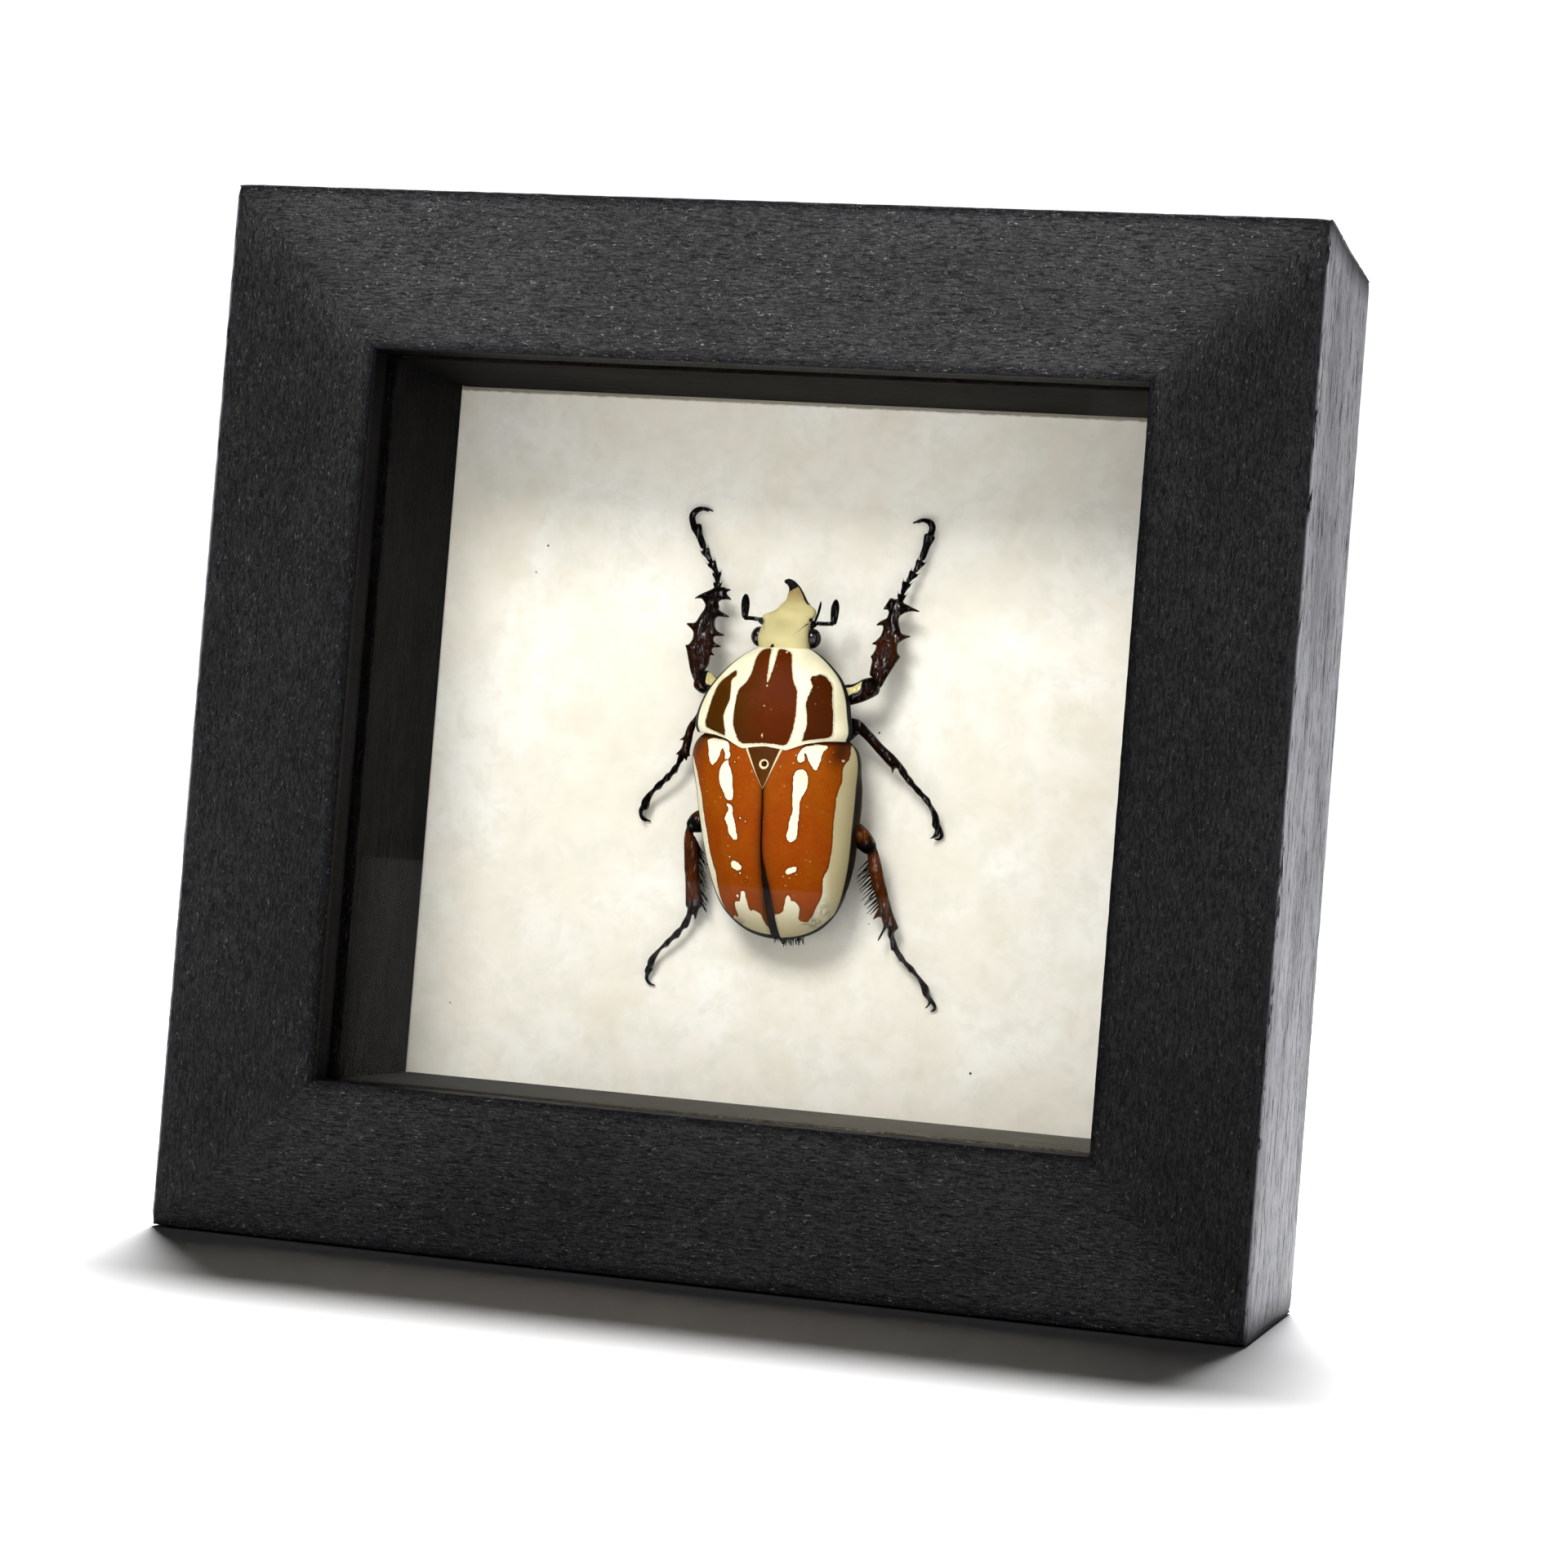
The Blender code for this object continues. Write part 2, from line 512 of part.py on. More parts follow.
def build_beetle(finish):
    """The whole dry beetle as one solid, resting on the paper by its feet."""
    body = bmesh.new()
    build_elytra(body)
    build_pronotum(body)
    build_scutellum(body)
    loft(body, [body_ring(station, 20, 2.2) for station in HEAD])
    for eye in EYES:
        made = bmesh.ops.create_icosphere(body, subdivisions=2, radius=EYE_RADIUS * MM)
        bmesh.ops.translate(body, verts=made["verts"], vec=Vector(eye) * MM)
    limbs = bmesh.new()
    for leg in LEGS.values():
        build_leg(limbs, leg)
    for feeler in FEELERS:
        tube(limbs, feeler, 6)
    place = (BEETLE_X, FRONT + PAPER_START, BEETLE_Z)
    turn = (math.radians(90), BEETLE_TURN, 0)
    beetle = add_object("beetle", body, finish)
    grown = add_object("beetle_limbs", limbs, finish)
    for item in (beetle, grown):
        item.location = place
        item.rotation_euler = turn
    grown.hide_render = True
    grown.display_type = "WIRE"
    join = beetle.modifiers.new("grown_together", "BOOLEAN")
    join.operation = "UNION"
    join.solver = "EXACT"
    join.use_self = True
    join.object = grown


def build_inside(glass, wood, paper, board, back):
    """Glass, four inner strips, paper, its board and the back board."""
    half_x = FRAME_WIDTH / 2 - RAIL_BODY - GAP
    half_z = FRAME_HEIGHT / 2 - RAIL_BODY - GAP
    slab("glass", half_x, half_z, GLASS_START, GLASS_THICK, glass)
    strip = RABBET - GAP
    strip_depth = PAPER_START - GAP - STRIP_START
    front = FRONT + STRIP_START
    back_y = front + strip_depth
    middle = FRAME_HEIGHT / 2
    for name, side in (("strip_left", -1), ("strip_right", 1)):
        edges = sorted((side * half_x, side * (half_x - strip)))
        low = (edges[0], front, middle - half_z)
        high = (edges[1], back_y, middle + half_z)
        add_object(name, box_bmesh(low, high), wood, 0.2 * MM)
    for name, side in (("strip_bottom", -1), ("strip_top", 1)):
        edges = sorted((middle + side * half_z, middle + side * (half_z - strip)))
        reach = half_x - strip - GAP
        low = (-reach, front, edges[0])
        high = (reach, back_y, edges[1])
        add_object(name, box_bmesh(low, high), wood, 0.2 * MM)
    slab("backing_paper", half_x, half_z, PAPER_START, PAPER_THICK, paper)
    board_start = PAPER_START + PAPER_THICK + GAP
    slab("mount_board", half_x, half_z, board_start, BOARD_THICK, board)
    slab("back_board", half_x, half_z, board_start + BOARD_THICK + GAP, BACK_THICK, back)


def main():
    clear_scene()
    black_wood = material("black_stained_wood", (0.028, 0.028, 0.03), 0.5)
    dark_wood = material("dark_stained_wood", (0.022, 0.021, 0.019), 0.6)
    clear_glass = material("clear_glass", (1.0, 1.0, 1.0), 0.02, 0.0, 1.0)
    cream_paper = material("cream_paper", (0.86, 0.82, 0.72), 0.85)
    foam_board = material("white_board", (0.8, 0.79, 0.76), 0.8)
    hardboard = material("brown_hardboard", (0.2, 0.11, 0.055), 0.7)
    steel = material("bright_steel", (0.55, 0.55, 0.55), 0.35, 1.0)
    shell = material("beetle_shell", (0.33, 0.1, 0.02), 0.3)
    build_rails(black_wood, steel)
    build_inside(clear_glass, dark_wood, cream_paper, foam_board, hardboard)
    build_hanger(steel)
    build_beetle(shell)


main()
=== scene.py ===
import math

import bmesh
import bpy
import numpy as np
from mathutils import Matrix, Vector, noise
from mathutils.geometry import delaunay_2d_cdt


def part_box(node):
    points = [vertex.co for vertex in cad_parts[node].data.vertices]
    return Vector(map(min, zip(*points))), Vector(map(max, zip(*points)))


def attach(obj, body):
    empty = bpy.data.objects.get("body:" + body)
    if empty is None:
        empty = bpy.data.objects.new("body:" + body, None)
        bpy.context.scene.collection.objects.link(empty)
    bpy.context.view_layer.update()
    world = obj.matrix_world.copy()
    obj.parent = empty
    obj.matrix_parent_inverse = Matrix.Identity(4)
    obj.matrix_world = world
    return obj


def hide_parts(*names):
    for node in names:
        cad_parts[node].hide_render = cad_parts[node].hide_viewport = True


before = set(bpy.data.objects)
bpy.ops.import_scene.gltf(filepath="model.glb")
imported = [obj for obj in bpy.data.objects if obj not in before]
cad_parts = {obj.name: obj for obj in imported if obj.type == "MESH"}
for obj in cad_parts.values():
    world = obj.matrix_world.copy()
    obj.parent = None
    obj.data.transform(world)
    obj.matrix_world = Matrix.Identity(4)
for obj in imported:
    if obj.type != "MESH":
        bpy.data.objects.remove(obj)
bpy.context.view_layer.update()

# Framed beetle in a deep black box: everything stands in the frame's own metres, front towards -Y.
mm = 0.001
frameLow = Vector((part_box("rail_left")[0].x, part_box("rail_left")[0].y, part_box("rail_bottom")[0].z))
frameHigh = Vector((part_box("rail_right")[1].x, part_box("rail_right")[1].y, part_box("rail_top")[1].z))
frontY = frameLow.y
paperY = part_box("backing_paper")[0].y
frameWidth = frameHigh.x - frameLow.x
frameHeight = frameHigh.z - frameLow.z
middleZ = frameHigh.z - frameHeight / 2


# Small helpers for node trees.
def putNode(tree, kind, inputs=None, **settings):
    node = tree.nodes.new(kind)
    for key, value in settings.items():
        setattr(node, key, value)
    for key, value in (inputs or {}).items():
        socket = node.inputs[key]
        if isinstance(value, bpy.types.NodeSocket):
            tree.links.new(value, socket)
        else:
            socket.default_value = value
    return node


def mathNode(tree, operation, *values):
    return putNode(tree, "ShaderNodeMath", dict(enumerate(values)), operation=operation).outputs[0]


def times(tree, first, second):
    return mathNode(tree, "MULTIPLY", first, second)


def plus(tree, first, second):
    return mathNode(tree, "ADD", first, second)


def mixColour(tree, factor, first, second, blend="MIX"):
    node = putNode(tree, "ShaderNodeMix", {0: factor, 6: first, 7: second}, data_type="RGBA")
    node.blend_type = blend
    return node.outputs[2]


# Lays a colour over another where a mask is set, at most by the given share.
def tint(tree, colour, mask, share, over):
    return mixColour(tree, times(tree, mask, share), colour, over)


def rangeNode(tree, value, low, high, outLow=0.0, outHigh=1.0, smooth=True):
    kind = "SMOOTHSTEP" if smooth else "LINEAR"
    node = putNode(tree, "ShaderNodeMapRange",
                   {0: value, 1: low, 2: high, 3: outLow, 4: outHigh}, interpolation_type=kind)
    return node.outputs[0]


def noiseNode(tree, vector, scale, detail=3.0, roughness=0.55, distortion=0.0):
    node = putNode(tree, "ShaderNodeTexNoise",
                   {"Vector": vector, "Scale": scale, "Detail": detail, "Roughness": roughness,
                    "Distortion": distortion})
    return node.outputs[0]


def scaled(tree, vector, factors, shift=(0.0, 0.0, 0.0)):
    node = putNode(tree, "ShaderNodeVectorMath", {0: vector, 1: factors, 2: shift},
                   operation="MULTIPLY_ADD")
    return node.outputs[0]


def attribute(tree, name):
    return putNode(tree, "ShaderNodeAttribute", attribute_name=name).outputs["Fac"]


def newGroup(name, inputs, outputs):
    tree = bpy.data.node_groups.new(name, "ShaderNodeTree")
    for label, kind, value in inputs:
        socket = tree.interface.new_socket(label, in_out="INPUT", socket_type=kind)
        if value is not None:
            socket.default_value = value
    for label, kind in outputs:
        tree.interface.new_socket(label, in_out="OUTPUT", socket_type=kind)
    start = tree.nodes.new("NodeGroupInput")
    end = tree.nodes.new("NodeGroupOutput")
    return tree, start.outputs, end.inputs


def useGroup(tree, group, inputs):
    node = tree.nodes.new("ShaderNodeGroup")
    node.node_tree = group
    for key, value in inputs.items():
        if isinstance(value, bpy.types.NodeSocket):
            tree.links.new(value, node.inputs[key])
        else:
            node.inputs[key].default_value = value
    return node.outputs


def newMaterial(name, **values):
    made = bpy.data.materials.new(name)
    made.use_nodes = True
    shader = made.node_tree.nodes["Principled BSDF"]
    for key, value in values.items():
        shader.inputs[key.replace("_", " ")].default_value = value
    return made, made.node_tree, shader


def place(tree):
    return putNode(tree, "ShaderNodeTexCoord").outputs["Object"]


def bump(tree, shader, height, strength, distance):
    node = putNode(tree, "ShaderNodeBump",
                   {"Strength": strength, "Distance": distance, "Height": height})
    tree.links.new(node.outputs[0], shader.inputs["Normal"])


def wire(tree, value, socket):
    tree.links.new(value, socket)


# Groups shared by several finishes: first wood grain along X of the given position.
def makeGrainGroup():
    tree, given, out = newGroup(
        "woodGrain",
        [("Position", "NodeSocketVector", None), ("Length", "NodeSocketFloat", 0.004),
         ("Width", "NodeSocketFloat", 0.0004), ("Nap", "NodeSocketFloat", 0.0005)],
        [("Grain", "NodeSocketFloat"), ("Pores", "NodeSocketFloat"), ("Nap", "NodeSocketFloat"),
         ("Flecks", "NodeSocketFloat"), ("Patches", "NodeSocketFloat"), ("Height", "NodeSocketFloat")])
    along = mathNode(tree, "DIVIDE", 1.0, given["Length"])
    across = mathNode(tree, "DIVIDE", 1.0, given["Width"])
    factors = putNode(tree, "ShaderNodeCombineXYZ", {0: along, 1: across, 2: across}).outputs[0]
    stretched = scaled(tree, given["Position"], factors)
    grain = noiseNode(tree, stretched, 1.0, 4.0, 0.62, 0.6)
    dashes = noiseNode(tree, scaled(tree, stretched, (1.3, 0.9, 0.9), (7.3, 2.1, 5.2)), 1.0, 3.0, 0.6, 0.8)
    pores = rangeNode(tree, dashes, 0.56, 0.66)
    rate = mathNode(tree, "DIVIDE", 1.0, given["Nap"])
    slow = times(tree, rate, 0.42)
    blotch = putNode(tree, "ShaderNodeCombineXYZ", {0: slow, 1: rate, 2: rate}).outputs[0]
    nap = noiseNode(tree, scaled(tree, given["Position"], blotch), 1.0, 3.0, 0.62, 0.9)
    dotted = scaled(tree, given["Position"], (1300.0, 3900.0, 3900.0), (3.0, 1.0, 4.0))
    spots = noiseNode(tree, dotted, 1.0, 2.0, 0.5, 1.2)
    flecks = rangeNode(tree, spots, 0.62, 0.7)
    patches = noiseNode(tree, scaled(tree, given["Position"], (22.0, 60.0, 60.0)), 1.0, 4.0, 0.6)
    height = plus(tree, times(tree, grain, 0.4), times(tree, nap, 0.6))
    height = mathNode(tree, "SUBTRACT", height, times(tree, pores, 0.3))
    height = plus(tree, height, times(tree, flecks, 0.35))
    for label, value in (("Grain", grain), ("Pores", pores), ("Nap", nap), ("Flecks", flecks),
                         ("Patches", patches), ("Height", height)):
        wire(tree, value, out[label])
    return tree


# Edge of a mark: a signed distance in millimetres made into a mask with a slightly ragged line.
def makeMarkGroup():
    tree, given, out = newGroup(
        "markEdge",
        [("Distance", "NodeSocketFloat", 0.0), ("Position", "NodeSocketVector", None),
         ("Ragged", "NodeSocketFloat", 0.1), ("Softness", "NodeSocketFloat", 0.05)],
        [("Mask", "NodeSocketFloat"), ("Rim", "NodeSocketFloat")])
    wobble = noiseNode(tree, given["Position"], 2600.0, 3.0, 0.6)
    shift = times(tree, mathNode(tree, "SUBTRACT", wobble, 0.5), given["Ragged"])
    moved = plus(tree, given["Distance"], shift)
    low = times(tree, given["Softness"], -1.0)
    wire(tree, rangeNode(tree, moved, low, given["Softness"]), out["Mask"])
    near = mathNode(tree, "ABSOLUTE", plus(tree, moved, 0.12))
    wire(tree, rangeNode(tree, near, 0.16, 0.0), out["Rim"])
    return tree


# Fine relief of a dry beetle's skin: punctures, wrinkles and dust.
def makeSkinGroup():
    tree, given, out = newGroup(
        "beetleSkin",
        [("Position", "NodeSocketVector", None), ("Puncture Size", "NodeSocketFloat", 0.00025)],
        [("Height", "NodeSocketFloat"), ("Dust", "NodeSocketFloat"), ("Tone", "NodeSocketFloat")])
    rate = mathNode(tree, "DIVIDE", 1.0, given["Puncture Size"])
    cells = putNode(tree, "ShaderNodeTexVoronoi", {"Vector": given["Position"], "Scale": rate})
    pits = rangeNode(tree, cells.outputs[0], 0.0, 0.35)
    wrinkles = noiseNode(tree, given["Position"], 1400.0, 4.0, 0.6)
    wire(tree, plus(tree, times(tree, pits, 0.55),
                        times(tree, wrinkles, 0.45)), out["Height"])
    specks = putNode(tree, "ShaderNodeTexVoronoi", {"Vector": given["Position"], "Scale": 850.0})
    close = rangeNode(tree, specks.outputs[0], 0.16, 0.08)
    rare = rangeNode(tree, noiseNode(tree, given["Position"], 260.0, 2.0), 0.5, 0.62)
    wire(tree, times(tree, close, rare), out["Dust"])
    wire(tree, noiseNode(tree, given["Position"], 160.0, 4.0, 0.55), out["Tone"])
    return tree


grainGroup = makeGrainGroup()
markGroup = makeMarkGroup()
skinGroup = makeSkinGroup()


# Wood finishes.
woodLook = {
    "rails": {"stain": (0.005, 0.0052, 0.0055, 1), "pale": (0.029, 0.0294, 0.030, 1),
              "fleck": (0.20, 0.202, 0.206, 1), "length": 0.0026, "width": 0.00024, "nap": 0.00032,
              "roughness": (0.38, 0.58), "shine": (0.13, 0.36), "bump": 1.0, "depth": 0.00022,
              # painted light: each rail's tone is scaled by its share, lightest on the top rail and darkest
              # on the uprights
              "top": 1.0, "bottom": 0.62, "left": 0.34, "right": 0.22,
              # dust: the pale streaks on the outer sides, partly dust and partly painted sheen
              "rubbed": (0.008, 0.008, 0.01, 1), "dust": (0.47, 0.474, 0.505, 1)},
    # linings: about a quarter of the rails' black, dark wood and painted shade on the box's inner walls
    "linings": {"stain": (0.0012, 0.0012, 0.0011, 1), "pale": (0.0065, 0.0062, 0.0055, 1),
                "fleck": (0.03, 0.028, 0.024, 1), "length": 0.006, "width": 0.0004, "nap": 0.0006,
                "roughness": (0.6, 0.8), "shine": (0.02, 0.08), "bump": 0.6, "depth": 0.0002},
    # sill: fade is the painted shade that darkens it towards the left wall
    "sill": {"stain": (0.018, 0.016, 0.012, 1), "pale": (0.17, 0.15, 0.115, 1),
             "fleck": (0.26, 0.24, 0.19, 1), "length": 0.007, "width": 0.00022, "nap": 0.0004,
             "roughness": (0.6, 0.8), "shine": (0.1, 0.25), "bump": 0.7, "depth": 0.0002, "fade": 0.1},
}
poreColour = (0.0015, 0.0015, 0.0018, 1)


def stainedWood(name, look, upright, wornAndPainted=False):
    made, tree, shader = newMaterial(name)
    turn = (0.0, math.radians(90.0), 0.0) if upright else (0.0, 0.0, 0.0)
    where = putNode(tree, "ShaderNodeMapping", {"Vector": place(tree), "Rotation": turn}).outputs[0]
    wood = useGroup(tree, grainGroup, {"Position": where, "Length": look["length"],
                                       "Width": look["width"], "Nap": look["nap"]})
    tone = plus(tree, times(tree, wood["Grain"], 0.4), times(tree, wood["Nap"], 0.6))
    uneven = rangeNode(tree, wood["Patches"], 0.3, 0.7, 0.7, 1.1)
    tone = times(tree, rangeNode(tree, tone, 0.34, 0.68), uneven)
    colour = mixColour(tree, tone, look["stain"], look["pale"])
    colour = tint(tree, colour, wood["Pores"], 0.75, poreColour)
    colour = tint(tree, colour, wood["Flecks"], 0.85, look["fleck"])
    shine = rangeNode(tree, tone, 0.1, 0.9, *look["shine"])
    parts = putNode(tree, "ShaderNodeSeparateXYZ", {0: place(tree)}).outputs
    # painted shade: the sill darkens towards the left wall
    if "fade" in look:
        light = rangeNode(tree, parts[0], -0.056, 0.03, look["fade"], 1.0)
        colour = mixColour(tree, 1.0, colour, light, "MULTIPLY")
    if wornAndPainted:
        colour, shine = wornAndPaintedRail(tree, look, where, wood, parts, colour, shine)
    wire(tree, colour, shader.inputs["Base Color"])
    wire(tree, rangeNode(tree, wood["Nap"], 0.3, 0.7, *look["roughness"]), shader.inputs["Roughness"])
    wire(tree, shine, shader.inputs["Specular IOR Level"])
    bump(tree, shader, wood["Height"], look["bump"], look["depth"])
    return made


# Painted light that makes each rail lighter or darker and runs on across the mitres, painted shade on the
# lip's inner face, rubbed edges, and pale streaks on the outer side rails, partly dust and partly painted
# sheen, denser low down as painted bounce light from the floor.
def wornAndPaintedRail(tree, look, where, wood, parts, colour, shine):
    beside = mathNode(tree, "ABSOLUTE", parts[0])
    above = mathNode(tree, "ABSOLUTE", mathNode(tree, "SUBTRACT", parts[2], middleZ))
    lead = mathNode(tree, "SUBTRACT", mathNode(tree, "SUBTRACT", beside, above), 0.004)
    # painted light: the top rail is drawn lightest, the bottom rail darker and the uprights darkest
    across = rangeNode(tree, parts[2], middleZ - 0.03, middleZ + 0.03, look["bottom"], look["top"])
    uprightLight = rangeNode(tree, parts[0], -0.03, 0.03, look["left"], look["right"])
    railLight = rangeNode(tree, lead, -0.014, 0.012, across, uprightLight)
    # painted shade: the inner face of the lip is drawn far darker
    inner = rangeNode(tree, attribute(tree, "inner"), 0.0, 1.0, 1.0, 0.16, False)
    colour = mixColour(tree, 1.0, colour, times(tree, railLight, inner), "MULTIPLY")
    rubbed = times(tree, attribute(tree, "edge"),
                   rangeNode(tree, noiseNode(tree, where, 900.0), 0.4, 0.65, 0.25, 1.0))
    colour = tint(tree, colour, rubbed, 0.5, look["rubbed"])
    # painted bounce light: the pale streaks grow denser towards the floor
    dustAndBounceCover = rangeNode(tree, parts[2], 0.0, 0.16, 1.0, 0.62, False)
    fine = noiseNode(tree, scaled(tree, where, (330.0, 2600.0, 2600.0)), 1.0, 5.0, 0.68, 0.5)
    broad = scaled(tree, where, (110.0, 900.0, 900.0), (2.0, 5.0, 1.0))
    streaks = plus(tree, times(tree, fine, 0.6), times(tree, noiseNode(tree, broad, 1.0, 4.0, 0.6, 0.8), 0.4))
    dustAndBounceCover = times(tree, dustAndBounceCover, rangeNode(tree, lead, -0.001, 0.006))
    dustAndBounceCover = times(tree, dustAndBounceCover, rangeNode(tree, wood["Patches"], 0.36, 0.56, 0.72, 1.0))
    # pale streaks on the outer faces, partly dust and partly painted sheen
    dustAndSheen = times(tree, times(tree, attribute(tree, "outer"), dustAndBounceCover), rangeNode(tree, streaks, 0.405, 0.505))
    colour = mixColour(tree, dustAndSheen, colour, look["dust"])
    dull = times(tree, inner, rangeNode(tree, attribute(tree, "outer"), 0.0, 1.0, 1.0, 0.35, False))
    dull = times(tree, dull, rangeNode(tree, attribute(tree, "edge"), 0.0, 1.0, 1.0, 0.1, False))
    return colour, times(tree, shine, times(tree, dull, rangeNode(tree, railLight, 0.2, 1.0, 0.55, 1.0)))


railAcross = stainedWood("black_stain_across", woodLook["rails"], False, True)
railUpright = stainedWood("black_stain_upright", woodLook["rails"], True, True)
liningAcross = stainedWood("dark_lining_across", woodLook["linings"], False)
liningUpright = stainedWood("dark_lining_upright", woodLook["linings"], True)
sillWood = stainedWood("bare_sill", woodLook["sill"], False)


# Mesh helpers.
def addObject(name, data):
    item = bpy.data.objects.new(name, data)
    bpy.context.scene.collection.objects.link(item)
    return item


def meshPiece(name, points, faces, material, values=None):
    mesh = bpy.data.meshes.new(name)
    mesh.from_pydata([tuple(p) for p in points], [], [tuple(f) for f in faces])
    mesh.materials.append(material)
    for label, numbers in (values or {}).items():
        layer = mesh.attributes.new(label, "FLOAT", "POINT")
        layer.data.foreach_set("value", np.asarray(numbers, np.float32))
    mesh.update()
    mesh.polygons.foreach_set("use_smooth", [True] * len(mesh.polygons))
    return addObject(name, mesh)


def keep(piece, node):
    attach(piece, "root")
    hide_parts(node)


# Faces of a grid of rows by columns, its columns closed into a ring if asked.
def gridFaces(rows, columns, ring, start=0, flip=False):
    faces = []
    for i in range(rows - 1):
        for j in range(columns if ring else columns - 1):
            k = (j + 1) % columns
            face = (start + i * columns + j, start + i * columns + k,
                    start + (i + 1) * columns + k, start + (i + 1) * columns + j)
            faces.append(face[::-1] if flip else face)
    return faces


# A closed tube of rows, with a flat face at each end.
def tubeFaces(rows, columns, start=0):
    faces = gridFaces(rows, columns, True, start)
    faces.append(tuple(start + k for k in range(columns))[::-1])
    last = start + (rows - 1) * columns
    faces.append(tuple(last + k for k in range(columns)))
    return faces


# An upper and a lower sheet of rows by columns, joined round their border.
def sheetFaces(rows, columns):
    count = rows * columns
    ring = (list(range(columns)) + [i * columns + columns - 1 for i in range(1, rows)]
            + [(rows - 1) * columns + j for j in range(columns - 2, -1, -1)]
            + [i * columns for i in range(rows - 2, 0, -1)])
    border = [(a, b, b + count, a + count) for a, b in zip(ring, ring[1:] + ring[:1])]
    return gridFaces(rows, columns, False) + gridFaces(rows, columns, False, count, True) + border


# Smooth curve through the rows of a table, evenly spaced in the measured columns.
def smoothTable(rows, count, measure=(0, 2)):
    rows = np.array(rows, float)
    steps = np.sqrt(sum(np.diff(rows[:, c]) ** 2 for c in measure))
    at = np.r_[0, np.cumsum(np.maximum(steps, 1e-6))]
    padded = np.vstack([2 * rows[0] - rows[1], rows, 2 * rows[-1] - rows[-2]])
    times = np.r_[2 * at[0] - at[1], at, 2 * at[-1] - at[-2]]
    s = np.linspace(0, at[-1], count)
    j = np.clip(np.searchsorted(at, s, side="right"), 1, len(at) - 1)
    t0, t1, t2, t3 = (times[j - 1 + n] for n in range(4))
    p0, p1, p2, p3 = (padded[j - 1 + n] for n in range(4))
    span = (t2 - t1)[:, None]
    m1 = (p2 - p0) / (t2 - t0)[:, None] * span
    m2 = (p3 - p1) / (t3 - t1)[:, None] * span
    w = ((s - t1) / (t2 - t1))[:, None]
    return ((2 * w**3 - 3 * w**2 + 1) * p1 + (w**3 - 2 * w**2 + w) * m1
            + (3 * w**2 - 2 * w**3) * p2 + (w**3 - w**2) * m2)


# Corners cut twice, so that a traced outline becomes a soft curve.
def rounded(outline, times=2):
    points = np.array(outline, float)
    for _ in range(times):
        after = np.roll(points, -1, axis=0)
        points = np.stack([points * 0.75 + after * 0.25, points * 0.25 + after * 0.75], 1).reshape(-1, 2)
    return points


# Signed distance from each point to a closed outline, positive inside, in the outline's unit.
def signedDistance(points, outline):
    best = np.full(len(points), 1e9)
    inside = np.zeros(len(points), bool)
    for a, b in zip(outline, np.roll(outline, -1, axis=0)):
        edge = b - a
        away = points - a
        share = np.clip(away @ edge / max(edge @ edge, 1e-12), 0, 1)
        best = np.minimum(best, np.hypot(*(away - share[:, None] * edge).T))
        crosses = (a[1] > points[:, 1]) != (b[1] > points[:, 1])
        with np.errstate(divide="ignore", invalid="ignore"):
            at = a[0] + (points[:, 1] - a[1]) * edge[0] / edge[1]
        inside ^= crosses & (points[:, 0] < at)
    return np.where(inside, best, -best)


def nearest(points, outlines):
    found = np.full(len(points), -9.0)
    for outline in outlines:
        found = np.maximum(found, signedDistance(points, rounded(outline)))
    return found


def nearestDot(points, dots):
    found = np.full(len(points), -9.0)
    for x, y, radius in dots:
        found = np.maximum(found, radius - np.hypot(points[:, 0] - x, points[:, 1] - y))
    return found


def hill(x, y, cx, cy, wide, tall):
    return np.exp(-((x - cx) / wide) ** 2 - ((y - cy) / tall) ** 2)


# Rails.
railForm = {
    "face": 25.0, "lip": 6.5, "rabbet": 6.0, "depth": 52.5,   # section in millimetres
    "mitreGap": 0.02, "spacing": 1.3, "steps": 170,
    "roundOuter": 0.55, "roundInner": 0.35, "wear": 0.16, "tipWear": 0.55, "wave": 0.035,
}


# The rail's section as (inset, depth, edge) with rounded corners, edge being 1 on a corner.
def railSection():
    form = railForm
    body = form["face"] - form["rabbet"]
    corners = [(0, 0, form["roundOuter"]), (form["face"], 0, form["roundInner"]),
               (form["face"], form["lip"], form["roundInner"]), (body, form["lip"], 0.05),
               (body, form["depth"], form["roundInner"]), (0, form["depth"], form["roundOuter"])]
    line = []
    for k, (x, y, radius) in enumerate(corners):
        corner = np.array((x, y), float)
        before = np.array(corners[k - 1][:2], float) - corner
        after = np.array(corners[(k + 1) % len(corners)][:2], float) - corner
        start = corner + before / np.linalg.norm(before) * radius
        end = corner + after / np.linalg.norm(after) * radius
        for t in np.linspace(0, 1, 5):
            line.append((*((1 - t) ** 2 * start + 2 * t * (1 - t) * corner + t * t * end), 1.0))
        reach = np.linalg.norm(after)
        target = np.array(corners[(k + 1) % len(corners)][:2], float)
        limit = reach - corners[(k + 1) % len(corners)][2]
        count = max(2, int((limit - radius) / form["spacing"]))
        for t in np.linspace(0, 1, count + 1)[1:-1]:
            far = radius + t * (limit - radius)
            edge = math.exp(-min(far, reach - far) / 0.5)
            line.append((*(corner + (target - corner) * far / reach), edge))
    return np.array(line)


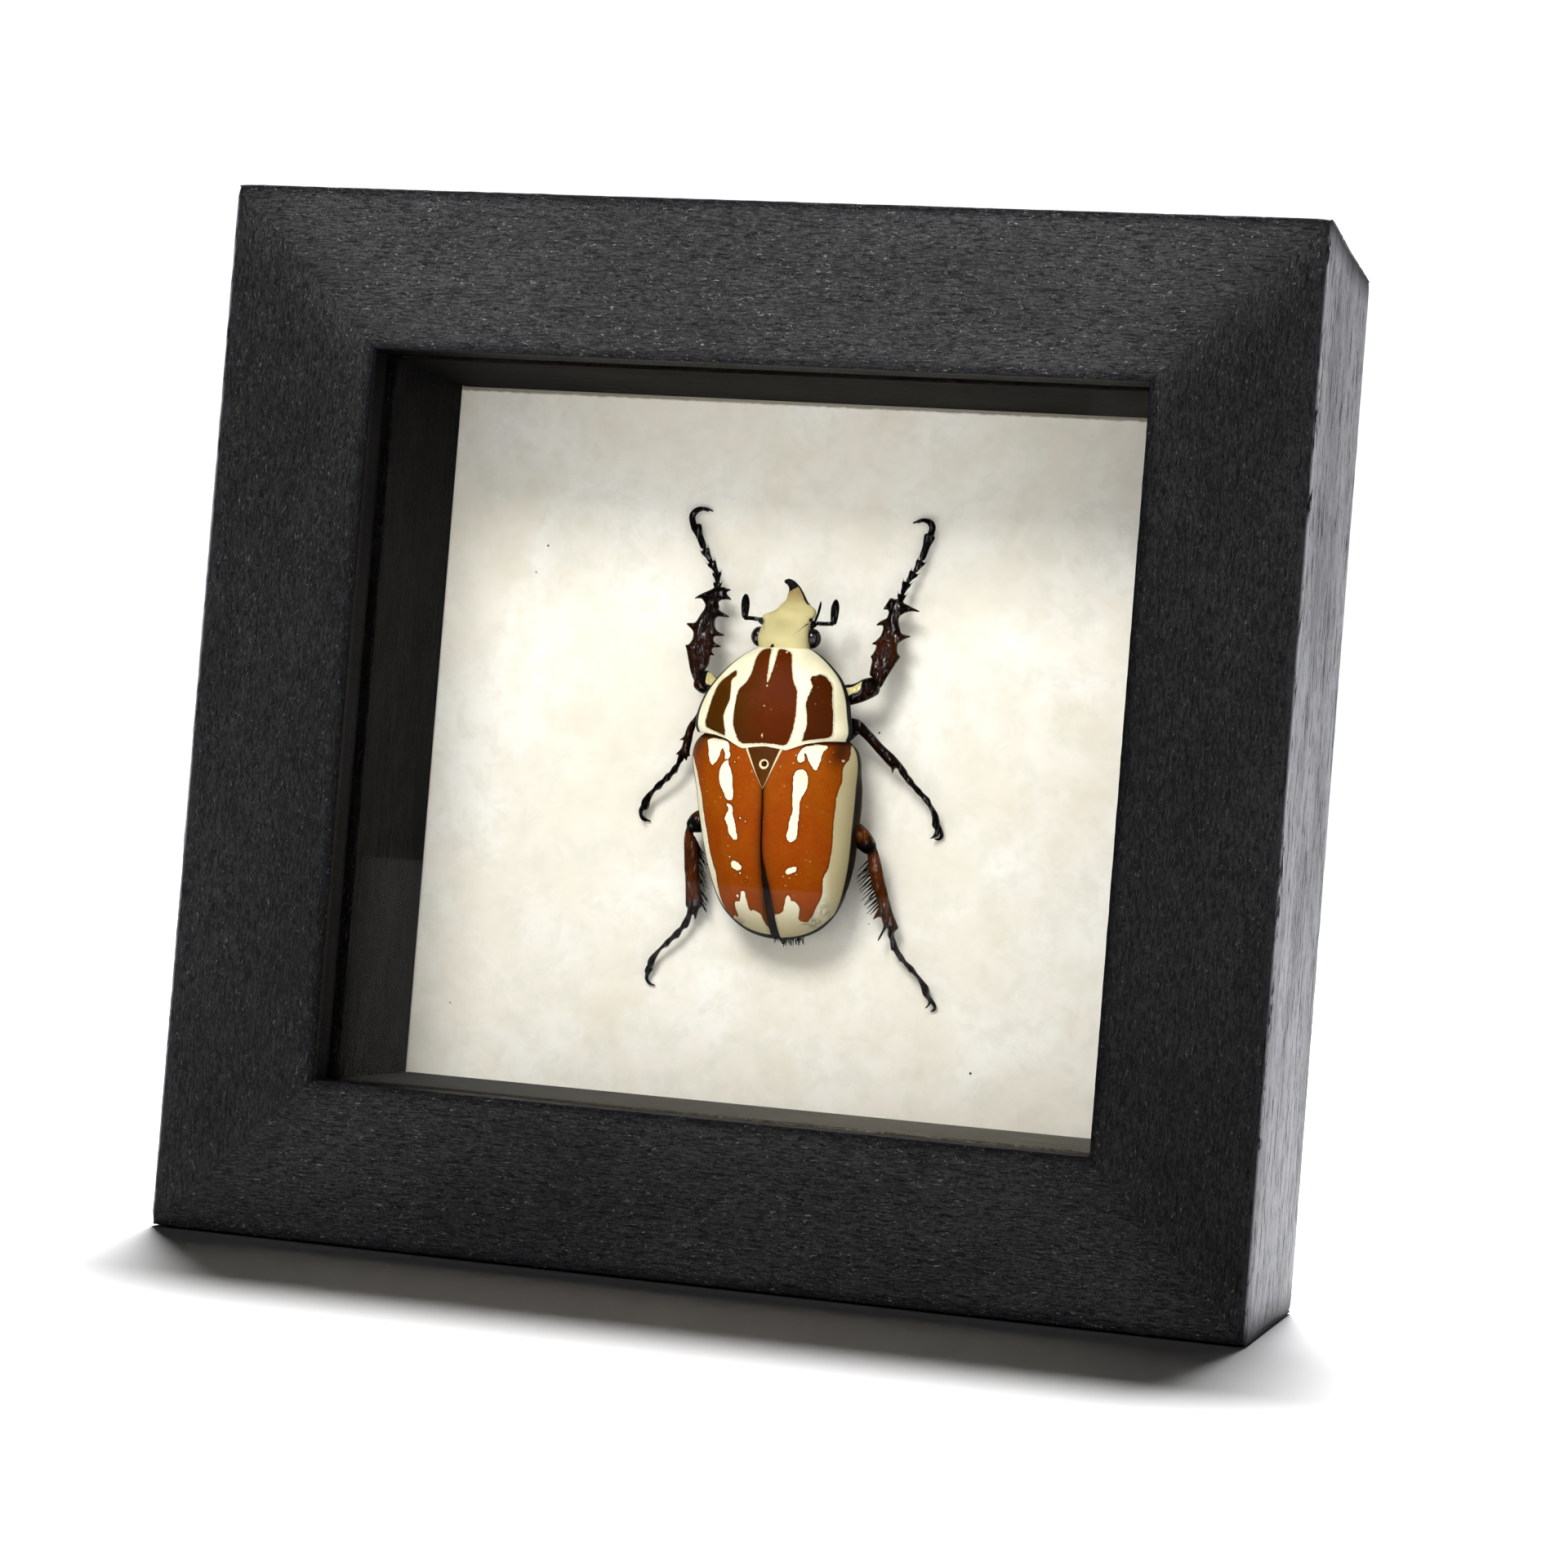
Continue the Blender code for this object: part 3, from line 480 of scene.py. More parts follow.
def frameRail(name, node, length, spot, turn, material):
    form = railForm
    section = railSection()
    columns = len(section)
    steps = form["steps"]
    centre = np.array((form["face"] / 2, form["depth"] / 2))
    points, edges, outers, inners = [], [], [], []
    for i in range(steps):
        share = i / (steps - 1) * 2 - 1
        for inset, depth, edge in section:
            outers.append(math.exp(-((inset / 0.3) ** 2)))
            inners.append(float(inset > form["face"] - 0.2 and depth > 0.45 and depth < form["lip"] + 0.1))
            along = share * (length / mm / 2 - inset - form["mitreGap"])
            ragged = noise.noise(Vector((along * 0.35, inset * 0.6 + turn, depth * 0.6)))
            ragged = 0.5 + 0.5 * ragged + 0.35 * noise.noise(Vector((along * 1.7, turn, depth)))
            loss = form["wear"] * edge * max(0.0, ragged)
            tip = max(0.0, 1 - (length / mm / 2 - abs(along)) / 2.2)
            outer = math.exp(-inset / 0.6)
            loss += form["tipWear"] * tip * tip * outer * max(0.2, ragged + 0.3)
            wave = form["wave"] * noise.noise(Vector((along * 0.06, inset * 0.05, depth * 0.05 + turn)))
            away = centre - np.array((inset, depth))
            away = away / max(np.linalg.norm(away), 1e-6)
            inset2, depth2 = inset + away[0] * (loss + wave), depth + away[1] * (loss + wave)
            points.append((along * mm, frontY + max(depth2, 0.0) * mm, -max(inset2, 0.0) * mm))
            edges.append(edge)
    points = np.array(points)
    c, s = math.cos(math.radians(turn)), math.sin(math.radians(turn))
    moved = np.stack([c * points[:, 0] + s * points[:, 2] + spot[0], points[:, 1],
                      -s * points[:, 0] + c * points[:, 2] + spot[1]], 1)
    values = {"edge": edges, "outer": outers, "inner": inners}
    piece = meshPiece(name, moved, tubeFaces(steps, columns), material, values)
    markSharp(piece)
    keep(piece, node)


# Flat ends and turned faces keep a crisp line between them.
def markSharp(piece, degrees=35.0):
    bm = bmesh.new()
    bm.from_mesh(piece.data)
    bmesh.ops.recalc_face_normals(bm, faces=bm.faces)
    for edge in bm.edges:
        if len(edge.link_faces) == 2 and edge.calc_face_angle(0.0) > math.radians(degrees):
            edge.smooth = False
    bm.to_mesh(piece.data)
    bm.free()


frameRail("frame_rail_top", "rail_top", frameWidth, (0.0, frameHigh.z), 0, railAcross)
frameRail("frame_rail_right", "rail_right", frameHeight, (frameHigh.x, middleZ), 90, railUpright)
frameRail("frame_rail_bottom", "rail_bottom", frameWidth, (0.0, frameLow.z), 180, railAcross)
frameRail("frame_rail_left", "rail_left", frameHeight, (frameLow.x, middleZ), 270, railUpright)
print("rails done")


# Finishes on the CAD nodes that stay.
def dress(node, material):
    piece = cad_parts[node]
    for slot in piece.material_slots:
        slot.material = material
    if not piece.material_slots:
        piece.data.materials.append(material)


for node in ("strip_left", "strip_right"):
    dress(node, liningUpright)
dress("strip_top", liningAcross)
dress("strip_bottom", sillWood)

paperLook = {
    "cream": (0.82, 0.765, 0.65, 1), "warm": (0.69, 0.61, 0.47, 1), "clear": (0.89, 0.86, 0.785, 1),
    "cool": (0.735, 0.71, 0.60, 1), "edge": (0.15, 0.115, 0.075, 1), "speck": (0.03, 0.025, 0.02, 1),
    # x, z from the frame's middle and radius of each small dark speck, in millimetres
    "specks": ((-43.9, 31.4, 0.22), (-45.6, 26.9, 0.16), (-54.4, -45.0, 0.16), (33.9, -48.6, 0.26),
               (14.6, 4.4, 0.22), (15.4, -26.3, 0.14)),
}


def paperFinish():
    look = paperLook
    made, tree, shader = newMaterial("cream_paper", Roughness=0.9, Specular_IOR_Level=0.25)
    where = place(tree)
    clouds = noiseNode(tree, where, 55.0, 5.0, 0.62, 0.4)
    fibre = noiseNode(tree, scaled(tree, where, (900.0, 900.0, 2400.0)), 1.0, 4.0, 0.65, 1.2)
    colour = mixColour(tree, rangeNode(tree, clouds, 0.35, 0.68), look["cream"], look["clear"])
    mottle = noiseNode(tree, scaled(tree, where, (1.0, 1.0, 1.0), (0.7, 0.4, 0.1)), 210.0, 7.0, 0.72, 0.3)
    colour = mixColour(tree, rangeNode(tree, mottle, 0.42, 0.66, 0.0, 0.55), colour, look["cool"])
    blush = noiseNode(tree, scaled(tree, where, (1.0, 1.0, 1.0), (0.3, 0.1, 0.2)), 90.0, 4.0, 0.6)
    colour = tint(tree, colour, rangeNode(tree, blush, 0.52, 0.8), 0.45, look["warm"])
    colour = tint(tree, colour, rangeNode(tree, fibre, 0.6, 0.85), 0.18, look["warm"])
    parts = putNode(tree, "ShaderNodeSeparateXYZ", {0: where}).outputs
    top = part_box("backing_paper")[1].z - 6.0 * mm
    torn = plus(tree, parts[2], times(tree, noiseNode(tree, where, 900.0), 0.0005))
    colour = tint(tree, colour, rangeNode(tree, torn, top - 0.0002, top + 0.0002), 0.8, look["edge"])
    mask = None
    for x, z, radius in look["specks"]:
        spot = (x * mm, paperY, middleZ + z * mm)
        far = putNode(tree, "ShaderNodeVectorMath", {0: where, 1: spot}, operation="DISTANCE")
        far = far.outputs["Value"]
        near = rangeNode(tree, far, radius * mm, radius * mm * 0.6)
        mask = near if mask is None else mathNode(tree, "MAXIMUM", mask, near)
    colour = mixColour(tree, mask, colour, look["speck"])
    wire(tree, colour, shader.inputs["Base Color"])
    bump(tree, shader, fibre, 0.25, 0.00008)
    return made


def boardFinish(name, base, other, roughness, depth):
    made, tree, shader = newMaterial(name, Specular_IOR_Level=0.3)
    where = place(tree)
    strands = noiseNode(tree, where, 1500.0, 5.0, 0.7, 1.0)
    broad = noiseNode(tree, where, 40.0, 4.0, 0.6)
    colour = mixColour(tree, rangeNode(tree, strands, 0.35, 0.7), base, other)
    dull = tuple(c * 0.8 for c in base[:3]) + (1,)
    colour = tint(tree, colour, rangeNode(tree, broad, 0.45, 0.75), 0.5, dull)
    wire(tree, colour, shader.inputs["Base Color"])
    dullness = rangeNode(tree, strands, 0.3, 0.7, roughness - 0.1, roughness + 0.1)
    wire(tree, dullness, shader.inputs["Roughness"])
    bump(tree, shader, strands, 0.35, depth)
    return made


steelLook = {"grey": (0.42, 0.43, 0.45, 1), "bright": (0.63, 0.64, 0.65, 1), "rust": (0.16, 0.075, 0.03, 1)}


def steelFinish():
    look = steelLook
    made, tree, shader = newMaterial("zinc_steel", Metallic=1.0)
    where = place(tree)
    cloudy = noiseNode(tree, where, 700.0, 4.0, 0.6)
    drawn = noiseNode(tree, scaled(tree, where, (4000.0, 4000.0, 300.0)), 1.0, 3.0, 0.6)
    colour = mixColour(tree, rangeNode(tree, cloudy, 0.3, 0.75), look["grey"], look["bright"])
    rust = rangeNode(tree, noiseNode(tree, where, 320.0, 5.0, 0.7), 0.63, 0.74)
    colour = tint(tree, colour, rust, 0.45, look["rust"])
    wire(tree, colour, shader.inputs["Base Color"])
    wire(tree, rangeNode(tree, drawn, 0.3, 0.7, 0.28, 0.48), shader.inputs["Roughness"])
    bump(tree, shader, drawn, 0.2, 0.00004)
    return made


# Low-reflection picture glass: light for the inside goes straight through the pane.
def glassFinish():
    made, tree, shader = newMaterial("clear_glass", Base_Color=(0.985, 0.995, 0.99, 1), IOR=1.12,
                                     Transmission_Weight=1.0)
    smear = noiseNode(tree, place(tree), 60.0, 4.0, 0.6)
    wire(tree, rangeNode(tree, smear, 0.45, 0.8, 0.0, 0.012), shader.inputs["Roughness"])
    light = putNode(tree, "ShaderNodeLightPath").outputs
    passing = mathNode(tree, "MAXIMUM", light["Is Shadow Ray"], light["Is Diffuse Ray"])
    wire(tree, rangeNode(tree, passing, 0.0, 1.0, 1.0, 0.03, False), shader.inputs["Alpha"])
    return made


dress("glass", glassFinish())
dress("backing_paper", paperFinish())
whiteBoard = boardFinish("white_board", (0.72, 0.70, 0.65, 1), (0.8, 0.78, 0.74, 1), 0.8, 0.00005)
brownBoard = boardFinish("brown_hardboard", (0.2, 0.105, 0.05, 1), (0.31, 0.18, 0.095, 1), 0.65, 0.00008)
dress("mount_board", whiteBoard)
dress("back_board", brownBoard)
steel = steelFinish()
for node in sorted(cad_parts):
    if node.startswith(("point_", "hanger", "nail_")):
        dress(node, steel)
print("box finishes done")


# Beetle: its own millimetres, x right, y to the head, height off the paper.
beetlePlace = {"x": 0.63, "z": -6.3, "turn": -1.0}


def toFrame(points):
    points = np.asarray(points, float)
    a = math.radians(beetlePlace["turn"])
    x = math.cos(a) * points[:, 0] + math.sin(a) * points[:, 1] + beetlePlace["x"]
    z = -math.sin(a) * points[:, 0] + math.cos(a) * points[:, 1] + beetlePlace["z"]
    return np.stack([x * mm, paperY - points[:, 2] * mm, middleZ + z * mm], 1)


# Points round a body's section: angle 0 is its right edge, 90 degrees its top.
def sectionPoint(row, angle, square):
    mid, half, rim, top, bottom = row[1:6]
    across = np.sign(np.cos(angle)) * np.abs(np.cos(angle)) ** (2 / square)
    up = np.sign(np.sin(angle)) * np.abs(np.sin(angle)) ** (2 / square)
    height = np.where(up > 0, rim + (top - rim) * up, rim + (rim - bottom) * up)
    return mid + half * across, height


# Collapsed ends merged and faces turned outwards.
def tidyMesh(piece):
    bm = bmesh.new()
    bm.from_mesh(piece.data)
    bmesh.ops.remove_doubles(bm, verts=bm.verts, dist=1e-6)
    bmesh.ops.dissolve_degenerate(bm, edges=bm.edges, dist=1e-7)
    bmesh.ops.recalc_face_normals(bm, faces=bm.faces)
    for face in bm.faces:
        face.smooth = True
    bm.to_mesh(piece.data)
    bm.free()


def beetlePiece(name, points, faces, material, values=None):
    piece = meshPiece(name, toFrame(points), faces, material, values)
    tidyMesh(piece)
    return piece


# Start and end of a finish on the beetle's skin.
def shellMaterial(name, puncture, shine=0.03):
    made, tree, shader = newMaterial(name, Specular_IOR_Level=shine)
    where = place(tree)
    skin = useGroup(tree, skinGroup, {"Position": where, "Puncture Size": puncture})
    return made, tree, shader, where, skin


def closeShell(tree, shader, colour, skin, roughness, strength, depth=0.00006):
    wire(tree, colour, shader.inputs["Base Color"])
    wire(tree, rangeNode(tree, skin["Height"], 0.2, 0.8, *roughness), shader.inputs["Roughness"])
    bump(tree, shader, skin["Height"], strength, depth)


# Two colours mixed by the skin's slow changes of tone.
def mottled(tree, skin, first, second, low=0.35, high=0.7):
    return mixColour(tree, rangeNode(tree, skin["Tone"], low, high), first, second)


# Wing cases.
wingForm = {
    # y, middle x, half width, height of the widest line, top, bottom
    "stations": ((-23.62, 1.6, 0.05, 7.4, 7.5, 7.3), (-23.3, 1.6, 2.7, 7.4, 8.2, 6.4),
                 (-22.6, 1.6, 5.0, 7.4, 9.4, 5.4), (-21.2, 1.6, 7.2, 7.5, 10.9, 4.4),
                 (-19.0, 1.5, 9.2, 7.7, 12.6, 3.4), (-16.0, 1.3, 10.5, 8.0, 14.4, 2.5),
                 (-11.0, 1.0, 11.7, 8.4, 16.3, 1.8), (-5.0, 0.5, 12.5, 8.6, 17.2, 1.3),
                 (1.0, 0.0, 13.2, 8.8, 17.3, 1.1), (4.6, -0.2, 13.6, 9.0, 16.9, 1.1),
                 (7.0, -0.3, 13.1, 9.0, 16.1, 1.3), (8.6, -0.4, 11.6, 9.0, 14.0, 2.0),
                 (9.6, -0.4, 8.0, 9.0, 11.0, 4.0)),
    "rows": 230, "columns": 105, "square": 2.3, "thick": 0.32,
    "innerLeft": ((-23.7, 0.55), (-21.3, 0.52), (-19.5, 0.45), (-17, 0.4), (-14.5, 0.3), (-12, 0.2),
                  (-9, 0.1), (-3, 0.12), (-0.2, 0.03), (9.7, 0)),
    "innerRight": ((-23.7, 2.02), (-22.3, 1.93), (-20.5, 1.8), (-19, 1.66), (-17, 1.46), (-15, 1.18),
                   (-13.2, 0.84), (-11, 0.4), (-9, 0.24), (-3, 0.24), (-0.2, 0.15), (9.7, 0.12)),
}
wingMarks = {
    "left": (
        ((-10.42, 7.23), (-9.77, 7.54), (-9.2, 7.69), (-8.09, 7.54), (-7.24, 7.43), (-6.39, 6.99),
         (-6.1, 6.25), (-6.06, 5.6), (-5.72, 5.16), (-5.88, 4.5), (-6.15, 4.31), (-6.68, 4.47),
         (-6.8, 4.65), (-6.53, 4.84), (-6.69, 5.21), (-6.95, 5.75), (-7.07, 6.12), (-7.35, 6.01),
         (-7.54, 5.45), (-7.63, 4.71), (-7.94, 4.05), (-8.69, 3.3), (-8.96, 3.38), (-9.33, 4.1),
         (-9.52, 5.01), (-9.59, 5.75), (-9.96, 6.67)),
        ((-6.61, 4.01), (-6.03, 4.19), (-5.9, 3.68), (-5.71, 3.23), (-5.31, 2.43), (-5.07, 1.53),
         (-4.98, 0.45), (-4.75, -0.81), (-4.71, -1.53), (-4.88, -1.99), (-5.38, -2.1), (-5.78, -2.12),
         (-6.13, -1.41), (-6.69, -0.53), (-7.17, 0.35), (-7.42, 1.43), (-7.39, 2.34), (-7.12, 3.26)),
        ((-5.76, -2.62), (-5.24, -2.73), (-4.83, -2.98), (-4.71, -3.42), (-4.71, -4.23), (-4.33, -5.3),
         (-4.11, -6.18), (-3.98, -7.08), (-3.72, -7.78), (-3.76, -8.15), (-4.16, -8.31), (-4.56, -8.1),
         (-5.08, -7.49), (-5.4, -6.79), (-5.42, -6.07), (-5.96, -5.28), (-6.04, -4.84), (-5.69, -4.19),
         (-5.4, -3.73), (-5.48, -3.28), (-5.74, -2.93)),
        ((-4.83, -11.73), (-4.47, -11.54), (-3.76, -11.68), (-3.08, -12.27), (-2.96, -12.62),
         (-3.17, -12.94), (-3.72, -13.08), (-4.42, -12.83), (-4.85, -12.46)),
        # the pale tip and the pale band up the outer side
        ((0.9, -22.61), (0.5, -21.89), (0.01, -20.81), (-0.29, -19.74), (-1, -19.34), (-1.54, -19.07),
         (-1.89, -19.39), (-2.15, -19.14), (-2.31, -18.61), (-2.38, -17.89), (-2.59, -17.18),
         (-2.61, -16.29), (-3, -16.22), (-3.32, -16.42), (-3.4, -17.23), (-3.63, -17.97), (-4.1, -17.9),
         (-4.43, -18.01), (-4.6, -18.47), (-4.42, -19.27), (-4.28, -20.17), (-4.36, -20.48),
         (-4.66, -20.37), (-5.04, -20.12), (-5.45, -20.6), (-5.95, -20.26), (-6.74, -19.22),
         (-7.21, -18.16), (-7.48, -17.09), (-7.68, -16.02), (-7.82, -14.22), (-7.93, -13.32),
         (-8.29, -12.62), (-8.59, -11.55), (-8.91, -10.48), (-9.24, -9.05), (-9.51, -7.43), (-9.9, -5.9),
         (-10.3, -4.3), (-10.6, -2.28), (-10.99, -0.84), (-11.47, 0.6), (-12, 2.41), (-12.62, 3.86),
         (-13.18, 4.96), (-16, 6), (-16, -28), (1, -28)),
    ),
    "right": (
        ((9.51, 7.07), (9.33, 7.34), (8.99, 7.35), (8.19, 7.48), (7.5, 7.48), (7.21, 7.27), (6.72, 7.15),
         (6.08, 6.91), (5.64, 6.51), (5.38, 6.03), (5.14, 5.37), (5.17, 4.91), (5.45, 4.47), (5.82, 4.35),
         (6.12, 4.7), (6.38, 4.71), (6.3, 5.26), (6.15, 5.71), (6.17, 6.08), (6.42, 5.97), (6.71, 5.47),
         (6.98, 4.75), (7.31, 4.23), (7.73, 3.62), (8.1, 3.28), (8.42, 3.49), (8.58, 4.32), (8.83, 5.07),
         (8.89, 5.81), (9.02, 6.47), (9.31, 6.68)),
        ((5.51, 3.23), (6.02, 3.38), (6.57, 3.18), (6.91, 2.74), (7.12, 1.85), (7.12, 0.77), (6.76, -0.16),
         (6.38, -0.9), (6.08, -1.73), (6.08, -2.54), (6.1, -3.62), (6.06, -4.52), (5.92, -5.43), (6, -6.14),
         (5.96, -6.68), (5.9, -7.1), (5.81, -7.37), (5.65, -7.8), (5.13, -8.14), (4.68, -8.05),
         (4.35, -7.62), (4.32, -7.1), (4.45, -6.6), (4.63, -6.23), (4.59, -5.33), (4.81, -4.24),
         (5.23, -3.05), (4.98, -2.34), (5.02, -1.53), (4.92, -0.82), (4.98, 0.27), (4.86, 1.34),
         (4.88, 2.43), (5.18, 2.99)),
        ((4.21, -12.73), (4.44, -12.36), (5.25, -12.04), (5.87, -11.88), (5.98, -12.26), (5.86, -12.63),
         (5.23, -12.94), (4.59, -13.25), (4.29, -13.09)),
        ((1.5, -20.4), (1.75, -19.9), (2.12, -19.5), (2.37, -19.67), (3.06, -19.35), (3.53, -18.96),
         (3.54, -18.42), (3.89, -17.68), (4.11, -16.77), (4.45, -16.39), (4.74, -16.64), (4.85, -17.44),
         (5.28, -17.33), (5.86, -17.74), (6.15, -18.44), (5.98, -19.17), (5.67, -20.18), (5.91, -20.34),
         (6.57, -20.57), (7.09, -20.53), (7.52, -19.96), (8.1, -19.39), (8.55, -18.28), (9.04, -17.34),
         (9.59, -16.23), (9.7, -14.78), (9.77, -13.52), (10.19, -12.6), (10.58, -11.85), (10.81, -10.22),
         (11.01, -8.76), (11.04, -7.32), (11.07, -5.76), (11.08, -3.96), (11.23, -2.15), (11.25, -0.71),
         (11.54, 0.77), (11.92, 1.89), (11.85, 2.96), (11.89, 3.87), (12.18, 4.82), (12.54, 5.41),
         (12.58, 6.16), (12.46, 7.09), (12.07, 8.03), (16, 9), (16, -28), (1.5, -28)),
    ),
    "dots": ((-4.88, 4.0, 0.13), (11.85, 5.15, 0.2), (-3.3, -4.85, 0.14), (-2.43, -5.29, 0.11),
             (-3.31, -13.4, 0.17), (-5.06, -10.99, 0.12), (-3.95, -17.05, 0.22), (-2.4, -14.57, 0.11)),
}


def wingCase(name, side, material):
    form = wingForm
    table = smoothTable(form["stations"], form["rows"])
    inner = np.array(form["innerLeft"] if side == "left" else form["innerRight"])
    sign = -1 if side == "left" else 1
    rows, columns, square = form["rows"], form["columns"], form["square"]
    outerAngle = math.radians(-1) if sign > 0 else math.radians(186)
    grid = np.empty((rows, columns, 3))
    gap = np.empty((rows, columns))
    for i, row in enumerate(table):
        edge = np.interp(row[0], inner[:, 0], inner[:, 1])
        share = np.clip((edge - row[1]) / max(row[2], 1e-6), -1, 1)
        start = math.acos(np.sign(share) * abs(share) ** (square / 2))
        angle = np.linspace(start, outerAngle, columns)
        x, h = sectionPoint(row, angle, square)
        grid[i, :, 0], grid[i, :, 1], grid[i, :, 2] = x, row[0], h
        gap[i] = np.abs(x - edge)
    x, y = grid[..., 0], grid[..., 1]
    mid = np.interp(y, table[:, 0], table[:, 1])
    # fall to the seam, a low ridge beside it, shoulder and rear knobs, faint ribs
    seam = np.interp(y, (-23.6, -12, 0, 9), (0.75, 0.5, 0.28, 0.2))
    lift = -seam * np.exp(-(gap / 0.28) ** 1.5)
    lift += 0.09 * np.exp(-((gap - 0.55) / 0.25) ** 2) * np.clip((-y - 4) / 8, 0, 1)
    lift += 0.5 * hill(x, y, sign * 9.8, 5.3, 2.0, 2.3)
    lift += 0.4 * hill(x - mid, y, sign * 6.0, -18.4, 2.0, 1.8)
    for rib in (4.2, 7.6):
        lift += 0.06 * np.exp(-((np.abs(x - mid) - rib * (1 - ((y + 3) / 32) ** 2)) / 0.5) ** 2)
    lift -= 0.35 * hill(x, y, sign * 13.2, -0.5, 1.6, 4.0)
    # a thin raised bead along the outer edge
    column = np.linspace(0, 1, columns)[None, :]
    bead = np.exp(-((column - 0.965) / 0.018) ** 2)
    fade = np.clip((y + 23.4) / 1.5, 0, 1)
    grid[..., 2] += lift
    grid[..., 0] += sign * 0.16 * bead * fade
    across = np.gradient(grid, axis=1)
    along = np.gradient(grid, axis=0)
    normal = np.cross(across, along)
    normal /= np.maximum(np.linalg.norm(normal, axis=2, keepdims=True), 1e-9)
    if normal[rows // 2, columns // 2, 2] < 0:
        normal = -normal
    under = grid - normal * form["thick"]
    points = np.vstack([grid.reshape(-1, 3), under.reshape(-1, 3)])
    count = rows * columns
    flat = points[:, :2]
    marks = np.maximum(nearest(flat, wingMarks[side]), nearestDot(flat, wingMarks["dots"]))
    gaps = np.r_[gap.ravel(), gap.ravel()]
    px, py = flat[:, 0], flat[:, 1]
    # painted shade: darker along the seam between the wing cases, at the shoulders and under the pronotum's
    # hind edge
    dark = 0.62 * np.exp(-(gaps / np.interp(py, (-20, -8, 0, 8), (1.0, 0.8, 0.6, 0.5))) ** 1.3)
    dark += 0.9 * hill(px, py, 11.4, 6.2, 1.5, 2.2) + 0.75 * hill(px, py, -12.2, 6.4, 1.6, 2.0)
    dark += 0.5 * np.clip((py - 6.6) / 1.4, 0, 1)
    outline = np.vstack([np.stack([table[:, 1] + table[:, 2], table[:, 0]], 1),
                         np.stack([table[:, 1] - table[:, 2], table[:, 0]], 1)[::-1]])
    wide = 0.66 if sign < 0 else np.interp(py, (-22.6, -19.0), (0.34, 0.05))
    rim = np.clip((wide - signedDistance(flat, outline)) / 0.07, 0, 1) * (py < 8.0)
    rim[count:] = 1.0
    # grey patches on the pale marks just behind and beside the rear knobs
    knobGrey = hill(px, py, 7.6, -20.6, 1.5, 0.8) + hill(px, py, -4.6, -21.0, 1.1, 0.6)
    knobGrey += 0.7 * hill(px, py, 9.6, -18.5, 0.9, 1.6)
    values = {"mark": np.clip(marks, -2, 2), "dark": np.clip(dark, 0, 1), "rim": rim, "knobGrey": knobGrey}
    return beetlePiece(name, points, sheetFaces(rows, columns), material, values)


shellLook = {
    "orange": (0.275, 0.044, 0.0008, 1), "amber": (0.30, 0.066, 0.0015, 1),
    # deep: dark brown of the marks' rims and of the painted shade on the wing cases
    "deep": (0.036, 0.0095, 0.002, 1), "cream": (0.90, 0.845, 0.62, 1), "buffAndShade": (0.46, 0.375, 0.185, 1),
    "black": (0.004, 0.0035, 0.003, 1), "knobGrey": (0.10, 0.09, 0.07, 1), "russet": (0.17, 0.03, 0.001, 1),
    "wingDust": (0.62, 0.43, 0.24, 1),
}


def wingFinish():
    look = shellLook
    made, tree, shader, where, skin = shellMaterial("wing_case_shell", 0.00042)
    mark = useGroup(tree, markGroup, {"Distance": attribute(tree, "mark"), "Position": where,
                                      "Ragged": 0.36, "Softness": 0.035})
    parts = putNode(tree, "ShaderNodeSeparateXYZ", {0: where}).outputs
    colour = mottled(tree, skin, look["orange"], look["amber"])
    fine = noiseNode(tree, where, 2400.0, 5.0, 0.7)
    colour = mixColour(tree, rangeNode(tree, fine, 0.35, 0.75, 0.0, 0.45), colour, look["russet"])
    # painted shade along the seam, at the shoulders and under the pronotum
    colour = mixColour(tree, attribute(tree, "dark"), colour, look["deep"])
    colour = tint(tree, colour, mark["Rim"], 0.6, look["deep"])
    colour = tint(tree, colour, skin["Dust"], 0.6, look["wingDust"])
    # painted shade: the pale marks turn buff towards the rear end and on the right flank
    low = rangeNode(tree, parts[2], middleZ - 0.029, middleZ - 0.022, 0.75, 0.0)
    flank = rangeNode(tree, parts[0], 0.0095, 0.012, 0.0, 0.85)
    pale = mixColour(tree, mathNode(tree, "MAXIMUM", low, flank), look["cream"], look["buffAndShade"])
    pale = tint(tree, pale, rangeNode(tree, skin["Tone"], 0.4, 0.8), 0.25, look["buffAndShade"])
    # grey over the pale marks behind and beside the rear knobs
    knobGreyMask = times(tree, attribute(tree, "knobGrey"),
                      rangeNode(tree, noiseNode(tree, where, 1100.0, 4.0), 0.4, 0.62, 0.1, 0.85))
    pale = mixColour(tree, knobGreyMask, pale, look["knobGrey"])
    colour = mixColour(tree, mark["Mask"], colour, pale)
    colour = mixColour(tree, attribute(tree, "rim"), colour, look["black"])
    closeShell(tree, shader, colour, skin, (0.36, 0.5), 0.14)
    return made


wingMaterial = wingFinish()
wingPieces = [wingCase("wing_case_" + side, side, wingMaterial) for side in ("left", "right")]
print("wing cases done")


